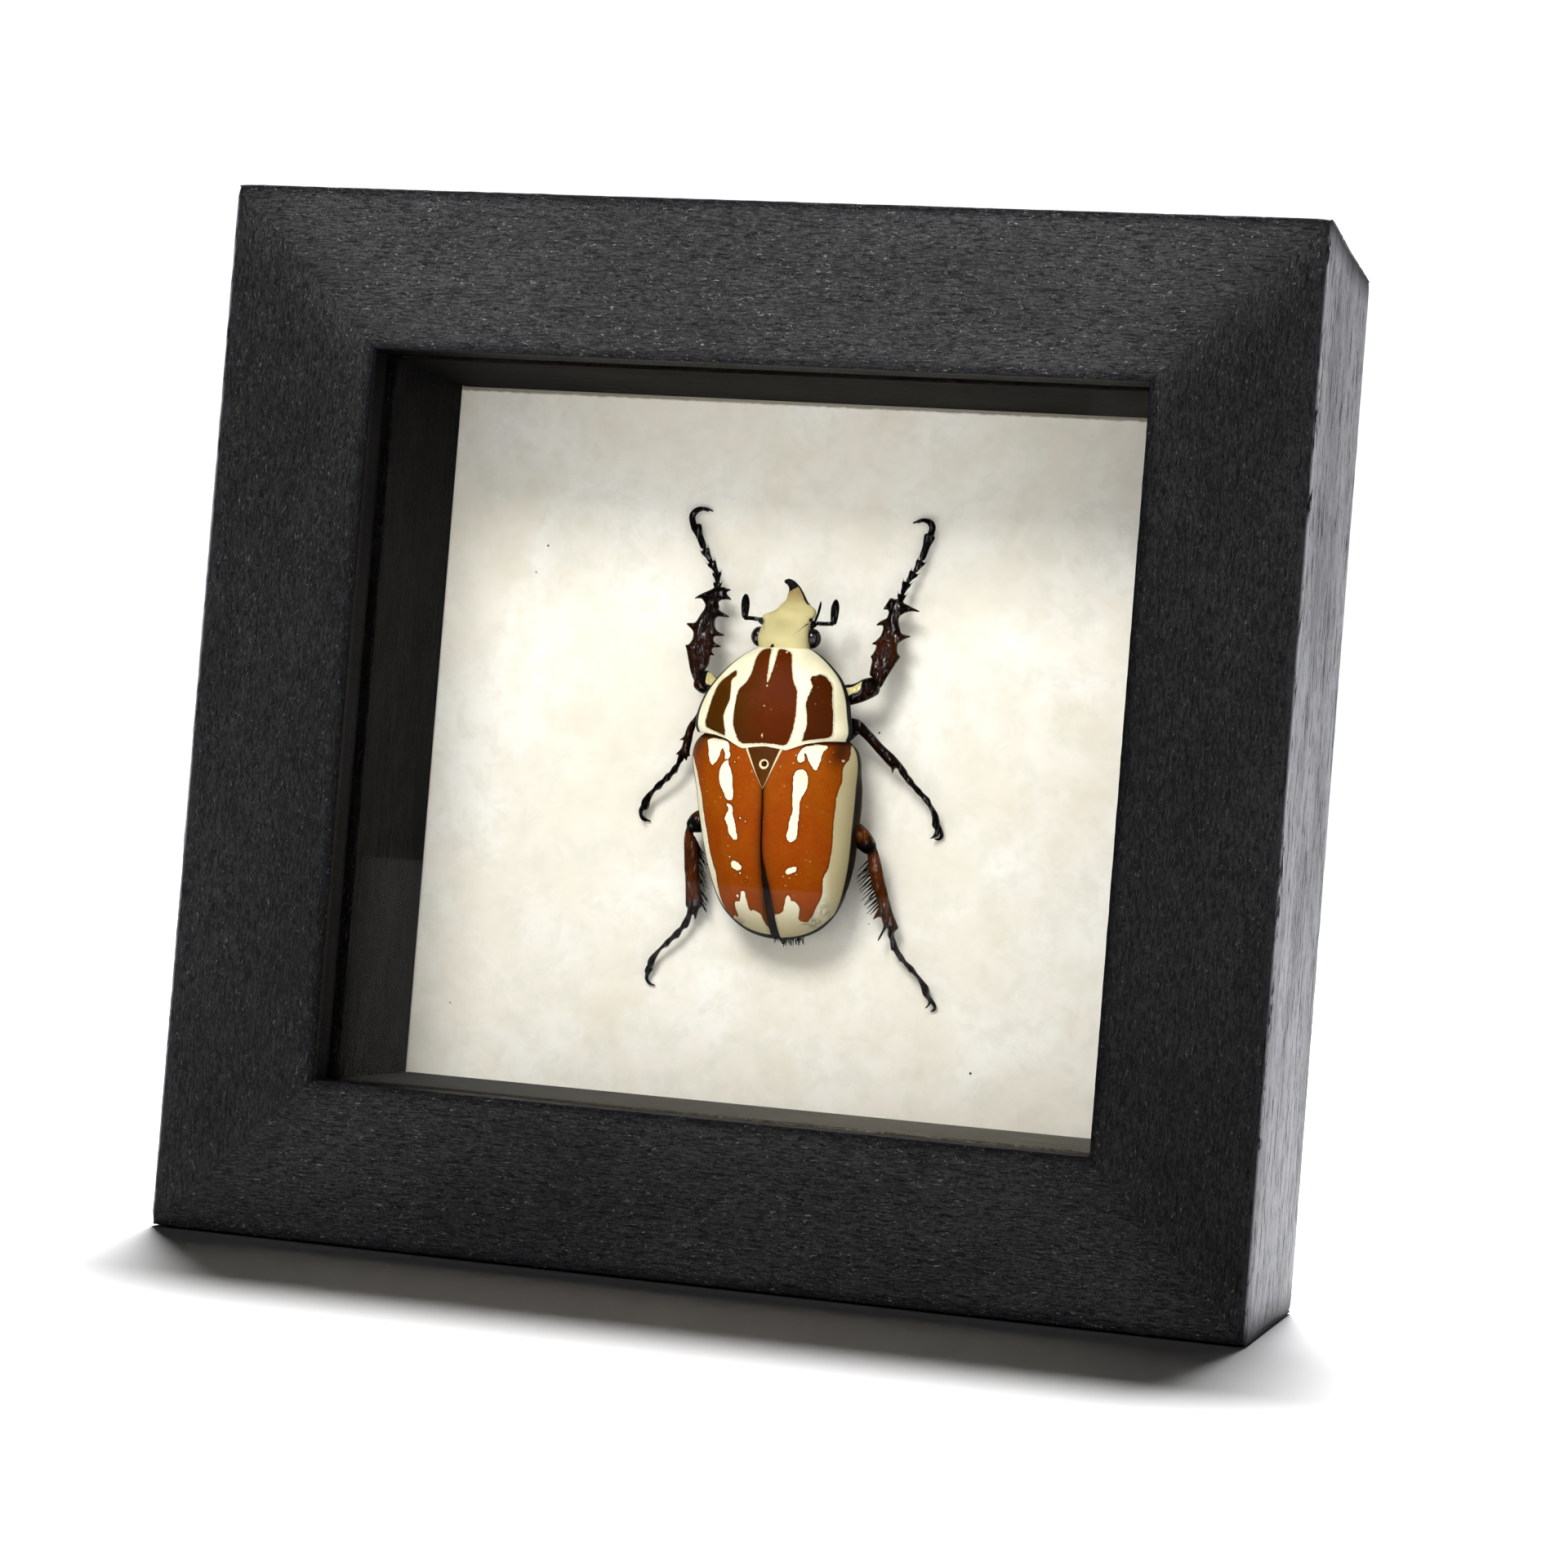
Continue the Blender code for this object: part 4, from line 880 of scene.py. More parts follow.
# Abdomen and underside.
bellyForm = {
    "inset": 0.13, "lower": 0.1, "drop": 0.75, "shift": 0.12, "boxy": 4.5, "rows": 120, "ring": 96,
    "square": 2.3, "segments": (-21.2, -18.4, -15.4, -12.2, -8.8, -5.0), "groove": 0.16,
    # y and how far the flanks stand out there
    "bulge": ((-23, 0.0), (-19, 0.15), (-12, 0.6), (-2, 0.85), (1, 0.7), (3.5, 0.15), (8, 0.0)),
    # stations under the pronotum, as in wingForm; the first takes the place of the wings' last
    "front": ((9.8, -0.4, 11.2, 9.2, 13.4, 1.5), (12.0, -0.5, 10.6, 9.6, 13.0, 1.6),
              (16.0, -0.1, 9.4, 9.6, 13.0, 2.0), (20.0, 0.2, 6.6, 9.6, 12.4, 4.0),
              (22.4, 0.3, 3.6, 9.6, 11.4, 6.0), (23.2, 0.3, 0.1, 9.4, 9.6, 9.2)),
}


bellyLook = {"black": (0.003, 0.0025, 0.0022, 1), "brown": (0.012, 0.006, 0.0035, 1),
             "dust": (0.25, 0.2, 0.14, 1), "fur": (0.042, 0.02, 0.008, 1)}


def bellyFinish():
    look = bellyLook
    made, tree, shader, where, skin = shellMaterial("black_shell", 0.0003, 0.05)
    colour = mottled(tree, skin, look["black"], look["brown"], 0.42, 0.72)
    colour = tint(tree, colour, skin["Dust"], 0.3, look["dust"])
    hairs = noiseNode(tree, scaled(tree, where, (900.0, 900.0, 2600.0)), 1.0, 3.0)
    fur = rangeNode(tree, hairs, 0.35, 0.65, 0.25, 1.0)
    colour = tint(tree, colour, attribute(tree, "flank"), fur, look["fur"])
    closeShell(tree, shader, colour, skin, (0.22, 0.44), 0.45, 0.00008)
    return made


def belly():
    form = bellyForm
    table = smoothTable(wingForm["stations"][:-1] + form["front"], form["rows"])
    grid = np.empty((form["rows"], form["ring"], 3))
    flank = np.zeros((form["rows"], form["ring"]))
    angle = np.linspace(0, math.tau, form["ring"], endpoint=False)
    down = -np.sin(angle)
    outwards = np.sign(np.cos(angle)) * np.abs(np.cos(angle))
    for i, row in enumerate(table):
        row = row.copy()
        row[2] = max(row[2] - form["inset"], 0.02)
        row[3] -= form["lower"]
        row[4] -= form["drop"]
        x, h = sectionPoint(row, angle, form["square"])
        x = np.where(down > 0, sectionPoint(row, angle, form["boxy"])[0], x)
        x = x + np.interp(row[0], *np.array(form["bulge"]).T) * np.clip(down * 5, 0, 1) * outwards
        groove = sum(math.exp(-((row[0] - at) / 0.22) ** 2) for at in form["segments"])
        under = np.clip(down + 0.25, 0, 1)
        x = row[1] + (x - row[1]) * (1 - 0.012 * groove * under)
        h = h + form["groove"] * groove * under
        grid[i, :, 0], grid[i, :, 1], grid[i, :, 2] = x, row[0] + form["shift"], h
        flank[i] = np.clip(down * 6, 0, 1) * np.clip(2.2 - down * 2.4, 0, 1) * (1 - 0.8 * groove)
    faces = tubeFaces(form["rows"], form["ring"])
    return beetlePiece("underside", grid.reshape(-1, 3), faces, bellyFinish(), {"flank": flank.ravel()})


bellyPiece = belly()


# Pronotum.
shieldForm = {
    "stations": ((7.2, -0.5, 12.25, 10.8, 16.9, 2.4), (8.9, -0.5, 12.65, 10.9, 17.3, 1.6),
                 (12.0, -0.5, 12.3, 11.0, 17.5, 1.2), (15.0, -0.2, 11.5, 11.0, 17.0, 1.4),
                 (18.0, 0.2, 9.8, 10.8, 16.0, 2.4), (20.6, 0.3, 7.3, 10.5, 14.8, 3.8),
                 (22.3, 0.4, 4.9, 10.2, 13.3, 5.4), (22.95, 0.4, 3.5, 10.0, 12.2, 6.6)),
    "rows": 150, "ring": 300, "square": 2.15, "bead": 0.17,
    # x and y of the hind edge
    "hind": ((-14.0, 8.7), (-12.68, 8.6), (-10.8, 8.4), (-8.83, 8.17), (-6.75, 7.6), (-4.77, 6.53),
             (-3.78, 6.13), (-1.87, 6.48), (0, 6.66), (1.85, 6.41), (3.31, 6.18), (4.74, 6.76), (6.31, 7.4),
             (8.84, 7.95), (11.42, 8.19), (14, 8.6)),
}
shieldMarks = {
    "patches": (
        ((-2.8, 21.62), (-2.24, 22.24), (-1.18, 22.37), (-0.94, 22.13), (-0.8, 21), (-0.66, 19.3),
         (-0.64, 17.81), (-0.52, 16.79), (-0.32, 16.67), (-0.11, 18.02), (0.19, 19.53), (0.26, 21.24),
         (0.23, 22.22), (0.48, 22.32), (1.65, 22.14), (2.41, 21.75), (2.75, 20.99), (2.93, 19.86),
         (3.36, 18.2), (3.74, 16.92), (4.44, 15.76), (4.52, 15.13), (4.61, 13.3), (4.65, 11.49),
         (4.43, 10.04), (4.2, 8.77), (3.85, 7.86), (3.54, 7.22), (3.04, 6.92), (2.22, 6.97), (1.31, 7.1),
         (0.01, 7.12), (-1.49, 7.08), (-2.63, 6.9), (-3.79, 6.93), (-4.47, 7.26), (-4.75, 7.78),
         (-4.94, 8.49), (-5.47, 9.55), (-5.5, 10.26), (-5.43, 12.08), (-5.34, 13.91), (-5.09, 15.49),
         (-4.49, 16.07), (-3.76, 16.93), (-3.32, 18.26), (-3.2, 19.58), (-3.1, 20.73)),
        ((-6.18, 18.57), (-5.9, 18.09), (-6.02, 17.52), (-6.47, 17.19), (-6.68, 16.76), (-6.54, 16.1),
         (-6.45, 15.17), (-6.35, 13.88), (-6.63, 12.95), (-7.03, 12.02), (-7.22, 10.93), (-7.09, 9.85),
         (-6.86, 8.95), (-6.85, 8.15), (-7.05, 8.05), (-9.26, 8.85), (-10.76, 9.44), (-10.31, 11.22),
         (-9.93, 12.69), (-9.63, 14.18), (-9.24, 15.5), (-8.68, 16.74), (-7.73, 17.41), (-6.56, 18.37)),
        ((6.26, 18.12), (6.19, 17.83), (6.21, 17.37), (6.54, 16.92), (6.7, 16.38), (6.5, 16), (6.34, 15.25),
         (6.11, 14.31), (5.98, 13.57), (6.25, 12.5), (6.37, 11.25), (6.36, 9.81), (5.96, 8.88),
         (5.97, 8.35), (5.62, 7.7), (6.83, 8.05), (8.52, 8.35), (9.65, 8.62), (10.04, 8.93), (10.17, 9.57),
         (10.15, 11.19), (10.02, 12.82), (9.72, 14.43), (9.57, 15.9), (9.46, 16.82), (8.95, 17.52),
         (8.35, 18.22), (7.84, 18.45), (7.18, 18.52), (7, 18.18), (6.57, 18.24)),
    ),
    "dots": ((-0.55, 13.02, 0.13), (-1.02, 12.45, 0.1), (-0.43, 16.2, 0.17), (1.67, 21.81, 0.14),
             (-0.6, 8.5, 0.16), (-0.6, 8.3, 0.17), (-0.6, 8.12, 0.15)),
}


shieldLook = {
    "chestnut": (0.082, 0.012, 0.0004, 1), "olive": (0.052, 0.0165, 0.0005, 1),
    "russet": (0.115, 0.022, 0.0006, 1), "umberShade": (0.044, 0.0085, 0.0003, 1),
    "dust": (0.4, 0.22, 0.1, 1), "cream": (0.93, 0.87, 0.62, 1),
}


def shieldFinish():
    look = shieldLook
    made, tree, shader, where, skin = shellMaterial("pronotum_shell", 0.00038)
    mark = useGroup(tree, markGroup, {"Distance": attribute(tree, "mark"), "Position": where,
                                      "Ragged": 0.34, "Softness": 0.035})
    parts = putNode(tree, "ShaderNodeSeparateXYZ", {0: where}).outputs
    leftness = rangeNode(tree, parts[0], 0.001, -0.006)
    brown = mixColour(tree, leftness, look["chestnut"], look["olive"])
    brown = tint(tree, brown, rangeNode(tree, skin["Tone"], 0.4, 0.75), 0.6, look["russet"])
    # painted shade: the right patch is darkened towards umber
    rightShade = rangeNode(tree, parts[0], 0.0052, 0.0068, 0.0, 0.75)
    brown = mixColour(tree, rightShade, brown, look["umberShade"])
    brown = tint(tree, brown, skin["Dust"], 0.4, look["dust"])
    stained = rangeNode(tree, skin["Tone"], 0.35, 0.75, 0.0, 0.35)
    pale = mixColour(tree, stained, look["cream"], shellLook["buffAndShade"])
    colour = mixColour(tree, mark["Mask"], pale, brown)
    colour = tint(tree, colour, mark["Rim"], 0.35, shellLook["deep"])
    colour = mixColour(tree, attribute(tree, "rim"), colour, shellLook["black"])
    closeShell(tree, shader, colour, skin, (0.34, 0.48), 0.14)
    return made


def shield():
    form = shieldForm
    table = smoothTable(form["stations"], form["rows"])
    rows, count = form["rows"], form["ring"]
    angle = np.linspace(0, math.tau, count, endpoint=False)
    hind = np.array(form["hind"])
    grid = np.empty((rows + 2, count, 3))
    rim = np.zeros((rows + 2, count))
    side = np.minimum(np.abs(np.sin(angle + 0.06)), 1) + (np.abs(np.cos(angle)) < 0.5)
    bead = np.exp(-(side / 0.055) ** 2)
    for i, row in enumerate(table):
        x, h = sectionPoint(row, angle, form["square"])
        share = float(np.clip((14.0 - row[0]) / 6.8, 0, 1)) ** 1.5
        shift = np.interp(x, hind[:, 0], hind[:, 1]) - table[0, 0]
        x = x + np.sign(np.cos(angle)) * form["bead"] * bead
        upper = np.clip(np.sin(angle) * 3 + 1, 0, 1)
        lip = 0.10 * math.exp(-(i / 2.5) ** 2)
        grid[i + 2, :, 0] = x
        grid[i + 2, :, 1] = row[0] + share * shift
        grid[i + 2, :, 2] = h - lip * upper
        rim[i + 2] = np.clip((np.where(np.cos(angle) > 0, 0.16, 0.40) - np.sin(angle)) / 0.03, 0, 1)
    grid[1] = grid[2] + (0.0, 0.12, 0.0)
    grid[1, :, 0] += (table[0, 1] - grid[1, :, 0]) * 0.03
    grid[1, :, 2] += (10.8 - grid[1, :, 2]) * 0.06
    grid[0] = grid[1] + (0.0, 1.5, 0.0)
    grid[0, :, 0] += (table[0, 1] - grid[0, :, 0]) * 0.1
    grid[0, :, 2] += (10.8 - grid[0, :, 2]) * 0.25
    rim[:2] = 1.0
    points = grid.reshape(-1, 3)
    marks = nearest(points[:, :2], shieldMarks["patches"])
    marks = np.minimum(marks, -nearestDot(points[:, :2], shieldMarks["dots"]))
    return beetlePiece("pronotum", points, tubeFaces(rows + 2, count), shieldFinish(),
                       {"mark": np.clip(marks, -2, 2), "rim": rim.ravel()})


shieldPiece = shield()
print("pronotum done")


# Scutellum, the small triangle, with its pin hole.
plateForm = {"front": 6.9, "tip": -0.15, "left": -3.7, "right": 3.0, "middle": 0.1, "grid": 90,
             "raise": 0.1, "thick": 1.5, "pin": (0.11, 3.89), "hole": 0.42, "collar": 0.80}


def wingTop(x, y):
    table = smoothTable(wingForm["stations"], 400)
    mid, half, rim, top = (np.interp(y, table[:, 0], table[:, c]) for c in (1, 2, 3, 4))
    share = np.clip(np.abs(x - mid) / np.maximum(half, 1e-6), 0, 1)
    return rim + (top - rim) * (1 - share ** wingForm["square"]) ** (1 / wingForm["square"])


plateLook = {
    "brown": (0.06, 0.0155, 0.0007, 1), "tan": (0.09, 0.026, 0.0015, 1), "dust": (0.35, 0.22, 0.12, 1),
    # hole: black of the painted shade in the pin hole
    "edge": (0.70, 0.62, 0.38, 1), "hole": (0.003, 0.003, 0.003, 1),
}


def plateFinish():
    look = plateLook
    made, tree, shader, _, skin = shellMaterial("scutellum_shell", 0.00035)
    colour = mottled(tree, skin, look["brown"], look["tan"])
    colour = tint(tree, colour, skin["Dust"], 0.5, look["dust"])
    colour = mixColour(tree, attribute(tree, "pale"), colour, look["edge"])
    # painted shade: the pin hole is drawn black
    colour = mixColour(tree, attribute(tree, "hole"), colour, look["hole"])
    closeShell(tree, shader, colour, skin, (0.36, 0.5), 0.2)
    return made


def plate():
    form = plateForm
    n = form["grid"]
    u, v = np.meshgrid(np.linspace(0, 1, n), np.linspace(0, 1, n))
    half = 1 - v
    left = form["middle"] + (form["left"] - form["middle"]) * half ** 0.94
    right = form["middle"] + (form["right"] - form["middle"]) * half ** 0.94
    x = left + (right - left) * u
    y = form["front"] + (form["tip"] - form["front"]) * v
    width = np.maximum(right - left, 1e-6)
    side = np.minimum(u, 1 - u) * width * 0.87
    h = wingTop(x, y) + form["raise"] * np.clip(side / 0.25, 0, 1) ** 0.5
    h += 0.12 * np.clip(side / 1.5, 0, 1)
    far = np.hypot(x - form["pin"][0], y - form["pin"][1])
    h += 0.08 * np.exp(-((far - form["hole"] - 0.12) / 0.1) ** 2)
    h -= 1.3 * np.clip((form["hole"] - far) / 0.06, 0, 1)
    points = np.vstack([np.stack([x, y, level], 2).reshape(-1, 3) for level in (h, h - form["thick"])])
    band = np.interp(y, (-0.2, 2, 4, 6.4), (0.1, 0.16, 0.3, 0.42))
    pale = np.clip((band - side) / 0.06, 0, 1) * np.clip((side - 0.03) / 0.05, 0, 1)
    lean = np.hypot(x - form["pin"][0] + 0.07, y - form["pin"][1] + 0.05)
    pale = np.maximum(pale, np.clip((form["collar"] - lean) / 0.06, 0, 1))
    # painted shade: black inside the pin hole
    hole = np.clip((form["hole"] + 0.08 - far) / 0.06, 0, 1)
    below = np.zeros(n * n)
    return beetlePiece("scutellum", points, sheetFaces(n, n), plateFinish(),
                       {"pale": np.r_[pale.ravel(), below], "hole": np.r_[hole.ravel(), below]})


platePiece = plate()


# Head and horn.
headForm = {
    # y, left x, right x, height of the widest line, top, bottom
    "stations": ((21.4, -3.3, 3.9, 9.8, 12.3, 6.6), (22.7, -3.85, 4.28, 9.8, 12.9, 5.8),
                 (24.1, -4.15, 4.18, 9.6, 12.7, 5.5), (25.5, -3.95, 4.02, 9.5, 12.1, 5.6),
                 (26.6, -3.62, 3.98, 9.4, 11.5, 5.9), (27.5, -3.78, 4.25, 9.4, 11.0, 6.2),
                 (28.0, -3.55, 4.72, 9.4, 10.8, 6.5), (28.45, -2.3, 4.82, 9.5, 10.7, 6.9),
                 (29.1, -1.25, 4.72, 9.6, 10.8, 7.6), (29.6, -0.85, 4.1, 9.8, 10.9, 8.0),
                 (30.3, 0.0, 3.5, 10.0, 11.1, 8.6), (31.1, 0.37, 3.15, 10.4, 11.4, 9.2),
                 (32.0, 0.68, 2.72, 10.9, 11.8, 9.9), (32.6, 0.5, 2.35, 11.3, 12.1, 10.4),
                 (33.0, 0.05, 2.0, 11.6, 12.3, 10.9), (33.35, 0.1, 1.6, 11.8, 12.3, 11.2),
                 (33.6, 0.6, 1.0, 11.9, 12.1, 11.6)),
    "rows": 170, "ring": 110, "square": 2.7,
    # start x, y and end x, y of the two oblique furrows, as cut and as painted shade
    "cuts": ((-3.35, 26.9, -2.75, 25.3), (3.75, 26.6, 2.5, 25.1)),
    "lines": ((-3.5, 27.1, -2.85, 25.2), (3.85, 26.7, 2.45, 25.0)),
}


# How far along a line from its start each point lies, from 0 to 1, and how far beside it.
def besideLine(x, y, ax, ay, bx, by):
    line = np.array((bx - ax, by - ay))
    t = np.clip(((x - ax) * line[0] + (y - ay) * line[1]) / (line @ line), 0, 1)
    return t, np.hypot(x - ax - t * line[0], y - ay - t * line[1])


headLook = {
    "cream": (0.54, 0.47, 0.235, 1), "straw": (0.40, 0.335, 0.145, 1), "horn": (0.24, 0.15, 0.045, 1),
    "dust": (0.2, 0.14, 0.06, 1), "black": (0.006, 0.005, 0.004, 1),
}


def headFinish():
    look = headLook
    made, tree, shader, where, skin = shellMaterial("head_shell", 0.00022, 0.05)
    colour = mottled(tree, skin, look["cream"], look["straw"], 0.3, 0.75)
    colour = tint(tree, colour, attribute(tree, "horn"), 0.75, look["horn"])
    colour = tint(tree, colour, skin["Dust"], 0.3, look["dust"])
    wobble = times(tree, mathNode(tree, "SUBTRACT", noiseNode(tree, where, 2200.0), 0.5), 0.5)
    # black: the horn's tip and edge, a dark notch, the underside, and painted shade in the furrows and in the
    # feeler's socket
    ragged = plus(tree, attribute(tree, "black"), wobble)
    colour = mixColour(tree, rangeNode(tree, ragged, 0.4, 0.6), colour, look["black"])
    closeShell(tree, shader, colour, skin, (0.38, 0.55), 0.3)
    return made


def head():
    form = headForm
    rows, count = form["rows"], form["ring"]
    table = smoothTable([(y, (a + b) / 2, (b - a) / 2, rim, top, bottom)
                         for y, a, b, rim, top, bottom in form["stations"]], rows, (0,))
    angle = np.linspace(0, math.tau, count, endpoint=False)
    grid = np.empty((rows, count, 3))
    share = np.empty((rows, count))
    for i, row in enumerate(table):
        x, h = sectionPoint(row, angle, form["square"])
        share[i] = (x - row[1]) / max(row[2], 1e-6)
        grid[i, :, 0], grid[i, :, 1], grid[i, :, 2] = x, row[0], h
    x, y = grid[..., 0], grid[..., 1]
    upper = np.clip(np.sin(angle) * 4, 0, 1)[None, :]
    # hollowed front, raised cheeks, two oblique furrows and a keel up the horn
    lift = -0.45 * hill(x, y, 0.4, 27.4, 2.4, 1.6) + 0.18 * hill(x, y, 0.1, 24.2, 2.2, 1.4)
    for line in form["cuts"]:
        t, away = besideLine(x, y, *line)
        lift -= 0.16 * np.exp(-(away / 0.14) ** 2) * (1 - 0.6 * t)
    lift += 0.22 * np.exp(-((share + 0.1) / 0.35) ** 2) * np.clip((y - 28.8) / 2, 0, 1)
    grid[..., 2] += lift * upper
    tip = np.clip((y - 31.7 - 0.5 * share) / 0.6, 0, 1)
    edge = np.clip((share - 0.80) / 0.12, 0, 1) * np.clip((y - 29.4) / 0.6, 0, 1)
    # painted shade: dark lines in the two oblique furrows
    furrowShade = np.zeros_like(x)
    for line in form["lines"]:
        t, away = besideLine(x, y, *line)
        furrowShade = np.maximum(furrowShade, np.exp(-(away / (0.12 - 0.07 * t)) ** 2) * 0.75)
    notch = hill(x, y, -0.95, 22.85, 0.28, 0.4) + 0.6 * hill(x, y, -1.25, 22.6, 0.3, 0.2)
    # painted shade in the feeler's socket
    socket = hill(x, y, 4.25, 27.35, 0.35, 0.35)
    below = np.tile((np.sin(angle) < -0.15).astype(float), (rows, 1))
    black = np.clip(tip + edge + furrowShade * upper + notch + socket + below, 0, 1)
    horn = np.clip((y - 29.4) / 2.2, 0, 1)
    return beetlePiece("head", grid.reshape(-1, 3), tubeFaces(rows, count), headFinish(),
                       {"black": black.ravel(), "horn": horn.ravel()})


headPiece = head()
print("head done")


# Eyes.
eyeForm = {"places": ((-4.3, 24.45, 8.9), (4.5, 24.5, 9.0)), "size": (1.25, 1.6, 1.45), "steps": 40,
           "black": (0.003, 0.0025, 0.003, 1), "brown": (0.016, 0.009, 0.008, 1)}


def eyeFinish():
    made, tree, shader = newMaterial("black_eye", Roughness=0.08, Specular_IOR_Level=0.5)
    where = place(tree)
    cells = putNode(tree, "ShaderNodeTexVoronoi", {"Vector": where, "Scale": 9000.0}).outputs[0]
    tone = noiseNode(tree, where, 700.0, 3.0)
    colour = mixColour(tree, rangeNode(tree, tone, 0.4, 0.7), eyeForm["black"], eyeForm["brown"])
    wire(tree, colour, shader.inputs["Base Color"])
    bump(tree, shader, cells, 0.12, 0.00002)
    return made


# Each eye bulges more outwards and is a little flattened where the head's ridge crosses it.
def eyes():
    form = eyeForm
    points, faces = [], []
    n = form["steps"]
    wide, long, tall = form["size"]
    for cx, cy, ch in form["places"]:
        sign = -1 if cx < 0 else 1
        start = len(points)
        for i in range(n + 1):
            for j in range(n * 2):
                a, b = math.pi * i / n, math.pi * j / n
                x, y, h = math.sin(a) * math.cos(b), math.cos(a), math.sin(a) * math.sin(b)
                bulge = 1 + 0.1 * max(0.0, x * sign)
                pinch = 1 - 0.07 * math.exp(-((h - 0.45) / 0.12) ** 2) * max(0.0, x * sign)
                points.append((cx + x * wide * bulge * pinch, cy + y * long, ch + h * tall * pinch))
        faces += gridFaces(n + 1, n * 2, True, start)
    return beetlePiece("eyes", points, faces, eyeFinish())


eyePiece = eyes()


# Limbs.
# Adds to a growing set of points and faces a smooth limb along rows of x, y, height, radius and
# a flatness that squeezes it in height. Keel draws its two edges out.
def limb(store, rows, count, rings, keel=0.0, tone=0.0, roundEnds=True):
    table = smoothTable(rows, rings, (0, 1, 2))
    centres = table[:, :3]
    along = np.gradient(centres, axis=0)
    along /= np.maximum(np.linalg.norm(along, axis=1, keepdims=True), 1e-9)
    side = np.cross(along, (0.0, 0.0, 1.0))
    side /= np.maximum(np.linalg.norm(side, axis=1, keepdims=True), 1e-9)
    up = np.cross(side, along)
    angle = np.linspace(0, math.tau, count, endpoint=False)
    wide = np.cos(angle) * (1 + keel * np.abs(np.cos(angle)) ** 6)
    tall = np.sin(angle)
    radius = table[:, 3].copy()
    if roundEnds:
        ends = np.linspace(0, 1, rings)
        radius *= np.minimum(1, np.sqrt(np.clip(np.minimum(ends, 1 - ends) * 14, 0.02, 1)))
    ring = (centres[:, None, :] + side[:, None, :] * (radius[:, None] * wide)[..., None]
            + up[:, None, :] * (radius[:, None] * table[:, 4][:, None] * tall)[..., None])
    start = len(store["points"])
    store["points"].extend(ring.reshape(-1, 3).tolist())
    store["tone"] += [tone] * (rings * count)
    if "cream" in store:
        store["cream"] += [0.0] * (rings * count)
    store["faces"] += tubeFaces(rings, count, start)


def thorn(store, base, tip, height, width):
    base, tip = np.array(base, float), np.array(tip, float)
    run = tip - base
    rows = [(*(base - run * 0.25), height, width * 0.95, 0.8),
            (*(base + run * 0.1), height, width * 0.9, 0.8),
            (*(base + run * 0.45), height, width * 0.5, 0.85),
            (*(base + run * 0.8), height - 0.1, width * 0.2, 0.9), (*tip, height - 0.2, 0.02, 1.0)]
    limb(store, rows, 10, 12, 0.0, 0.0, False)


# Width of a foot's joints, as place along the joint and share of its widest part.
footForm = {
    "joint": ((0.0, 0.5), (0.15, 0.6), (0.5, 0.78), (0.78, 1.12), (0.92, 1.15), (1.03, 0.55)),
    "last": ((0.0, 0.5), (0.2, 0.62), (0.55, 0.68), (0.82, 0.98), (0.95, 1.0), (1.02, 0.5)),
}


# A foot of five joints, each widening to a spiny far end.
def foot(store, line):
    for number, (near, far) in enumerate(zip(line, line[1:])):
        near, far = np.array(near, float), np.array(far, float)
        last = number == len(line) - 2
        width = far[3] if last else max(near[3], far[3])
        shape = footForm["last" if last else "joint"]
        rows = [(*(near[:3] + (far[:3] - near[:3]) * at), width * size, 0.8) for at, size in shape]
        limb(store, rows, 14, 18)
        if not last:
            run = (far[:2] - near[:2]) / np.linalg.norm(far[:2] - near[:2])
            out = np.array((-run[1], run[0]))
            for way in (-1, 1):
                base = far[:2] - run * 0.3 + out * way * width * 0.8
                thorn(store, base, base + run * 0.75 + out * way * 0.35, far[2] - 0.1, 0.13)


